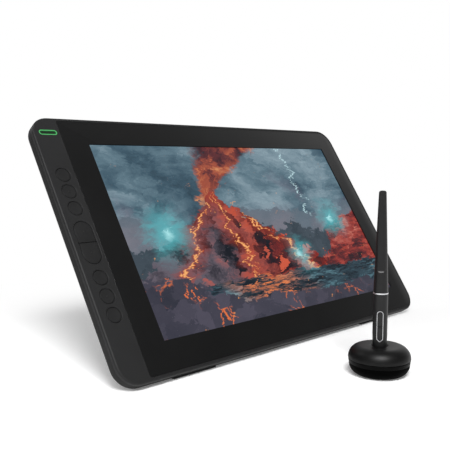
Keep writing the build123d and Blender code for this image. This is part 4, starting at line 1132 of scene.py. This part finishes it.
def dot_on(name, height, level, body):
    """A raised dot in the middle of a key, so that a fingertip finds it."""
    dome = bulge((DOT_RADIUS, level), (0, level + DOT_HEIGHT), QUARTER_TURN, DOT_ARC_STEPS)
    dot = turned([(0, level, 0), *dome], DOT_STEPS)
    finished(dot, name, on_face(STRIP_X, height), key_plastic, body)


def dish_corner(share):
    """A corner of the dished cap, at a share of the dish's reach from its middle."""
    return (DISH_REACH * share, -KEY_SINK - DISH * (1 - share**2), 0)


key_corners = [
    *[dish_corner(step / DISH_STEPS) for step in range(DISH_STEPS + 1)],
    (KEY_RADIUS, -KEY_SINK, KEY_ROUND),
    (KEY_RADIUS, -FLANGE_FRONT, 0),
    (FLANGE_RADIUS, -FLANGE_FRONT, 0),
    (FLANGE_RADIUS, -FLANGE_BACK, 0),
    (STEM_RADIUS, -FLANGE_BACK, 0),
    (STEM_RADIUS, -STEM_BACK, 0),
    (0, -STEM_BACK, 0),
]
key_rows = [KEY_FIRST + row * KEY_PITCH for row in range(KEYS_IN_A_GROUP)]
key_heights = [-row for row in reversed(key_rows)] + key_rows
for number, height in enumerate(key_heights, start=1):
    finished(
        turned(key_corners, KEY_STEPS),
        f"key_cap_{number}",
        on_face(STRIP_X, height),
        key_plastic,
        f"key_{number}",
        f"round_key_{number}",
    )
for number in DOTTED_KEYS:
    height = key_heights[number - 1]
    dot_on(f"key_dot_{number}", height, -KEY_SINK - DISH, f"key_{number}")
print("round keys:", len(key_heights))

# %% [markdown]
# ## The long key
#
# The long key is a stadium, cut across its middle into two halves that move one by one.
# Such a shape can't be turned, so each half is pressed from its outline: a cap, and a
# wider flange behind the strip. Only the stem over its switch is turned.

# %% The two halves of the long key
PILL_HALF_WIDTH = 7.55
PILL_HALF_LENGTH = 17.7
PILL_SPLIT = 0.25
PILL_SWITCH = 8.9
STEM_STEPS = 32


def half_stadium(growth, side):
    """Corners of half of the long key; side is 1 for the upper half, -1 for the lower."""
    half_width = PILL_HALF_WIDTH + growth
    far = side * (PILL_HALF_LENGTH + growth)
    near = side * PILL_SPLIT
    return [
        (-half_width, near, 0),
        (half_width, near, 0),
        (half_width, far, half_width),
        (-half_width, far, half_width),
    ]


stem_corners = [
    (0, -FLANGE_BACK, 0),
    (STEM_RADIUS, -FLANGE_BACK, 0),
    (STEM_RADIUS, -STEM_BACK, 0),
    (0, -STEM_BACK, 0),
]
for name, side in (("upper", 1), ("lower", -1)):
    body = f"{name}_pill"
    cap = pressed(half_stadium(0, side), KEY_SINK, FLANGE_FRONT, KEY_ROUND)
    middle = on_face(STRIP_X, 0)
    finished(cap, f"{name}_pill_cap", middle, key_plastic, body, f"{name}_pill_key")
    flange = pressed(half_stadium(FLANGE_RADIUS - KEY_RADIUS, side), FLANGE_FRONT, FLANGE_BACK)
    finished(flange, f"{name}_pill_flange", middle, key_plastic, body)
    stem = turned(stem_corners, STEM_STEPS)
    finished(stem, f"{name}_pill_stem", on_face(STRIP_X, side * PILL_SWITCH), key_plastic, body)
    dot_on(f"{name}_pill_dot", side * PILL_SWITCH, -KEY_SINK, body)
print("long key:", 2 * PILL_HALF_LENGTH, "mm long, in 2 halves")

# %% [markdown]
# ## The glass
#
# The cover glass is one slab with small corners beside the key strip and large ones
# that follow the rim. Its front edge is ground to a very fine bevel, which only takes
# the sharpness off: a wide one would draw a bright line round the screen.

# %% Cover glass
GLASS_LEFT = -167.0
GLASS_RIGHT = 188.6
GLASS_HALF_HEIGHT = 109.8
GLASS_STRIP_CORNER = 2.0
GLASS_RIM_CORNER = 14.0
GLASS_FRONT = 0.1
GLASS_BACK = 1.15
GLASS_BEVEL = 0.12
slab = pressed(
    [
        (GLASS_LEFT, -GLASS_HALF_HEIGHT, GLASS_STRIP_CORNER),
        (GLASS_RIGHT, -GLASS_HALF_HEIGHT, GLASS_RIM_CORNER),
        (GLASS_RIGHT, GLASS_HALF_HEIGHT, GLASS_RIM_CORNER),
        (GLASS_LEFT, GLASS_HALF_HEIGHT, GLASS_STRIP_CORNER),
    ],
    GLASS_FRONT,
    GLASS_BACK,
    GLASS_BEVEL,
)
finished(slab, "glass_slab", tablet_place, cover_glass_finish, "tablet", "cover_glass")
print("glass:", GLASS_RIGHT - GLASS_LEFT, "by", 2 * GLASS_HALF_HEIGHT, "mm")

# %% [markdown]
# ## Screws
#
# The screws on the back are turned like the rest, but their heads are left open in
# the middle. A cross is drawn in the opening, bridged to its rim and pushed down, and
# that makes the recess for the screwdriver.

# %% Case screws
SCREW_HEAD = 2.0
SCREW_HEAD_ROUND = 0.3
SCREW_OPENING = 1.4
SCREW_HEAD_HEIGHT = 0.8
SCREW_SHANK = 1.0
SCREW_LENGTH = 6.4
SCREW_DEPTH = 11.7
CROSS_REACH = 1.1
CROSS_HALF_WIDTH = 0.26
CROSS_DEPTH = 0.55
CROSS_TAPER = 0.75
SCREW_STEPS = 24
SCREW_EDGE_Y = 104.0
SCREW_EDGE_SPREAD = 100.0
SCREW_STRIP_X = -158.5
SCREW_STRIP_Y = 40.0
SCREW_SIDE_X = 179.5
SCREW_SIDE_Y = 70.0


def cross_recess(mesh):
    """Fill the opening in a screw's head with a cross that is pushed down."""
    rim = [edge for edge in mesh.edges if edge.is_boundary]
    near, far = CROSS_HALF_WIDTH, CROSS_REACH
    arm = [(near, -near), (far, -near), (far, near)]
    quarters = [Matrix.Rotation(math.pi / 2 * turn, 2) for turn in range(4)]
    places = [quarter @ Vector(corner) for quarter in quarters for corner in arm]
    cross = mesh.faces.new([mesh.verts.new((x, y, 0)) for x, y in places])
    bmesh.ops.bridge_loops(mesh, edges=rim + cross.edges[:])
    sunk = bmesh.ops.extrude_face_region(mesh, geom=[cross])["geom"]
    floor = [item for item in sunk if isinstance(item, bmesh.types.BMVert)]
    bmesh.ops.translate(mesh, verts=floor, vec=(0, 0, -CROSS_DEPTH))
    bmesh.ops.scale(mesh, verts=floor, vec=(CROSS_TAPER, CROSS_TAPER, 1))


def case_screw():
    """One screw, drawn upright with its head at zero."""
    screw_corners = [
        (SCREW_OPENING, 0, 0),
        (SCREW_HEAD, 0, SCREW_HEAD_ROUND),
        (SCREW_HEAD, -SCREW_HEAD_HEIGHT, 0),
        (SCREW_SHANK, -SCREW_HEAD_HEIGHT, 0),
        (SCREW_SHANK, -SCREW_HEAD_HEIGHT - SCREW_LENGTH, 0),
        (0, -SCREW_HEAD_HEIGHT - SCREW_LENGTH, 0),
    ]
    mesh = turned(screw_corners, SCREW_STEPS)
    cross_recess(mesh)
    return mesh


edge_xs = [SCREW_EDGE_SPREAD * step for step in (-1.5, -0.5, 0.5, 1.5)]
screw_places = [(x, side * SCREW_EDGE_Y) for side in (-1, 1) for x in edge_xs]
screw_places += [(SCREW_STRIP_X, side * SCREW_STRIP_Y) for side in (-1, 1)]
screw_places += [(SCREW_SIDE_X, -SCREW_SIDE_Y), (SCREW_SIDE_X, 0)]
turn_over = Matrix.Translation((0, 0, -SCREW_DEPTH)) @ Matrix.Rotation(math.pi, 4, "Y")
for number, (x, y) in enumerate(screw_places, start=1):
    stands_for = ["case_screws"] if number == 1 else []
    place = on_face(x, y) @ turn_over
    finished(case_screw(), f"case_screw_{number}", place, steel, "tablet", *stands_for)
print("screws:", len(screw_places))

# %% [markdown]
# ## The floor
#
# The photograph stands on white, with soft grey shadows. The floor is pale and plain,
# and only seen a little brighter than the lamps make it, so that the shadows stay and
# the floor throws no more light on the object. Far from the set it passes into the
# same white as the background, so that no horizon shows.

# %% The floor
FLOOR_REACH = 6.0
FLOOR_LIFT = 0.15
SHADOW_MIDDLE = (-0.12, 0.0, 0.0)
SHADOW_REACH = 0.2
WHITE_REACH = 0.43


def floor_finish():
    finish = Finish("floor", Roughness=0.9, Specular_IOR_Level=0.0)
    here = finish.here()
    mottle = finish.noise(here, 30, 2)
    finish.drive("Base Color", finish.mix(mottle, (0.93, 0.93, 0.93), (0.95, 0.95, 0.95)))
    far = finish.smooth(finish.distance(here, SHADOW_MIDDLE), SHADOW_REACH, WHITE_REACH)
    seen = finish.ray("Camera") + finish.ray("Glossy") + finish.ray("Transmission")
    seen = seen.math("MINIMUM", 1.0)
    lift = finish.node("Emission", None, (1, 1, 1), seen * FLOOR_LIFT)
    lifted = finish.node("AddShader", None, Wire(finish, finish.shader.outputs[0]), lift)
    white = finish.node("Emission", None, (1, 1, 1), 1.0)
    blend = finish.node("MixShader", None, seen * far, lifted, white)
    finish.tree.links.new(blend.socket, finish.tree.nodes["Material Output"].inputs["Surface"])
    return finish.material


floor_mesh = bmesh.new()
bmesh.ops.create_grid(floor_mesh, x_segments=1, y_segments=1, size=FLOOR_REACH)
floor_data = bpy.data.meshes.new("floor")
floor_mesh.to_mesh(floor_data)
floor_mesh.free()
floor_data.materials.append(floor_finish())
floor = bpy.data.objects.new("floor", floor_data)
bpy.context.scene.collection.objects.link(floor)
print("floor:", 2 * FLOOR_REACH, "m wide")

# %% [markdown]
# ## The light
#
# The shadows of the photograph show where its light came from. A round softbox high
# at the front left gives nearly all of it. A weak one further left and another behind
# keep the rims from going black, and the world fills in the rest. The world looks
# white to the camera, and also to the glossy surfaces that mirror what lies behind the
# set, while it lights the object with much less.

# %% The lamps and the world
FILL = 0.25
BACKDROP_EDGE = 0.1
BACKDROP_MIDDLE = 0.9


def softbox(name, place, target, size, power):
    """A round area lamp that faces a point."""
    data = bpy.data.lights.new(name, "AREA")
    data.shape = "ELLIPSE"
    data.size = data.size_y = size
    data.energy = power
    lamp = bpy.data.objects.new(name, data)
    bpy.context.scene.collection.objects.link(lamp)
    lamp.location = place
    lamp.rotation_euler = (Vector(target) - Vector(place)).to_track_quat("-Z", "Y").to_euler()


softbox("key_softbox", (-0.64, -0.72, 1.08), (0, 0, 0.05), 0.5, 19)
softbox("left_softbox", (-1.15, -0.57, 1.06), (-0.18, 0.05, 0.1), 0.4, 4)
softbox("rim_softbox", (-0.5, 0.9, 0.9), (0.1, 0, 0.08), 0.4, 2)

studio = Finish("studio", "worlds", "Background", Color=(1, 1, 1))
ahead = CAMERA_FORWARD.normalized()
direction = studio.node("TexCoord", out="Generated")
facing = studio.smooth(studio.dot(direction, ahead), BACKDROP_EDGE, BACKDROP_MIDDLE)
backdrop = studio.ray("Glossy") * facing
white = (studio.ray("Camera") + studio.ray("Transmission") + backdrop).math("MINIMUM", 1.0)
studio.drive("Strength", FILL + white * (1 - FILL))
bpy.context.scene.world = studio.material
bpy.context.scene.view_settings.view_transform = "Standard"
print("lamps:", len(bpy.data.lights))
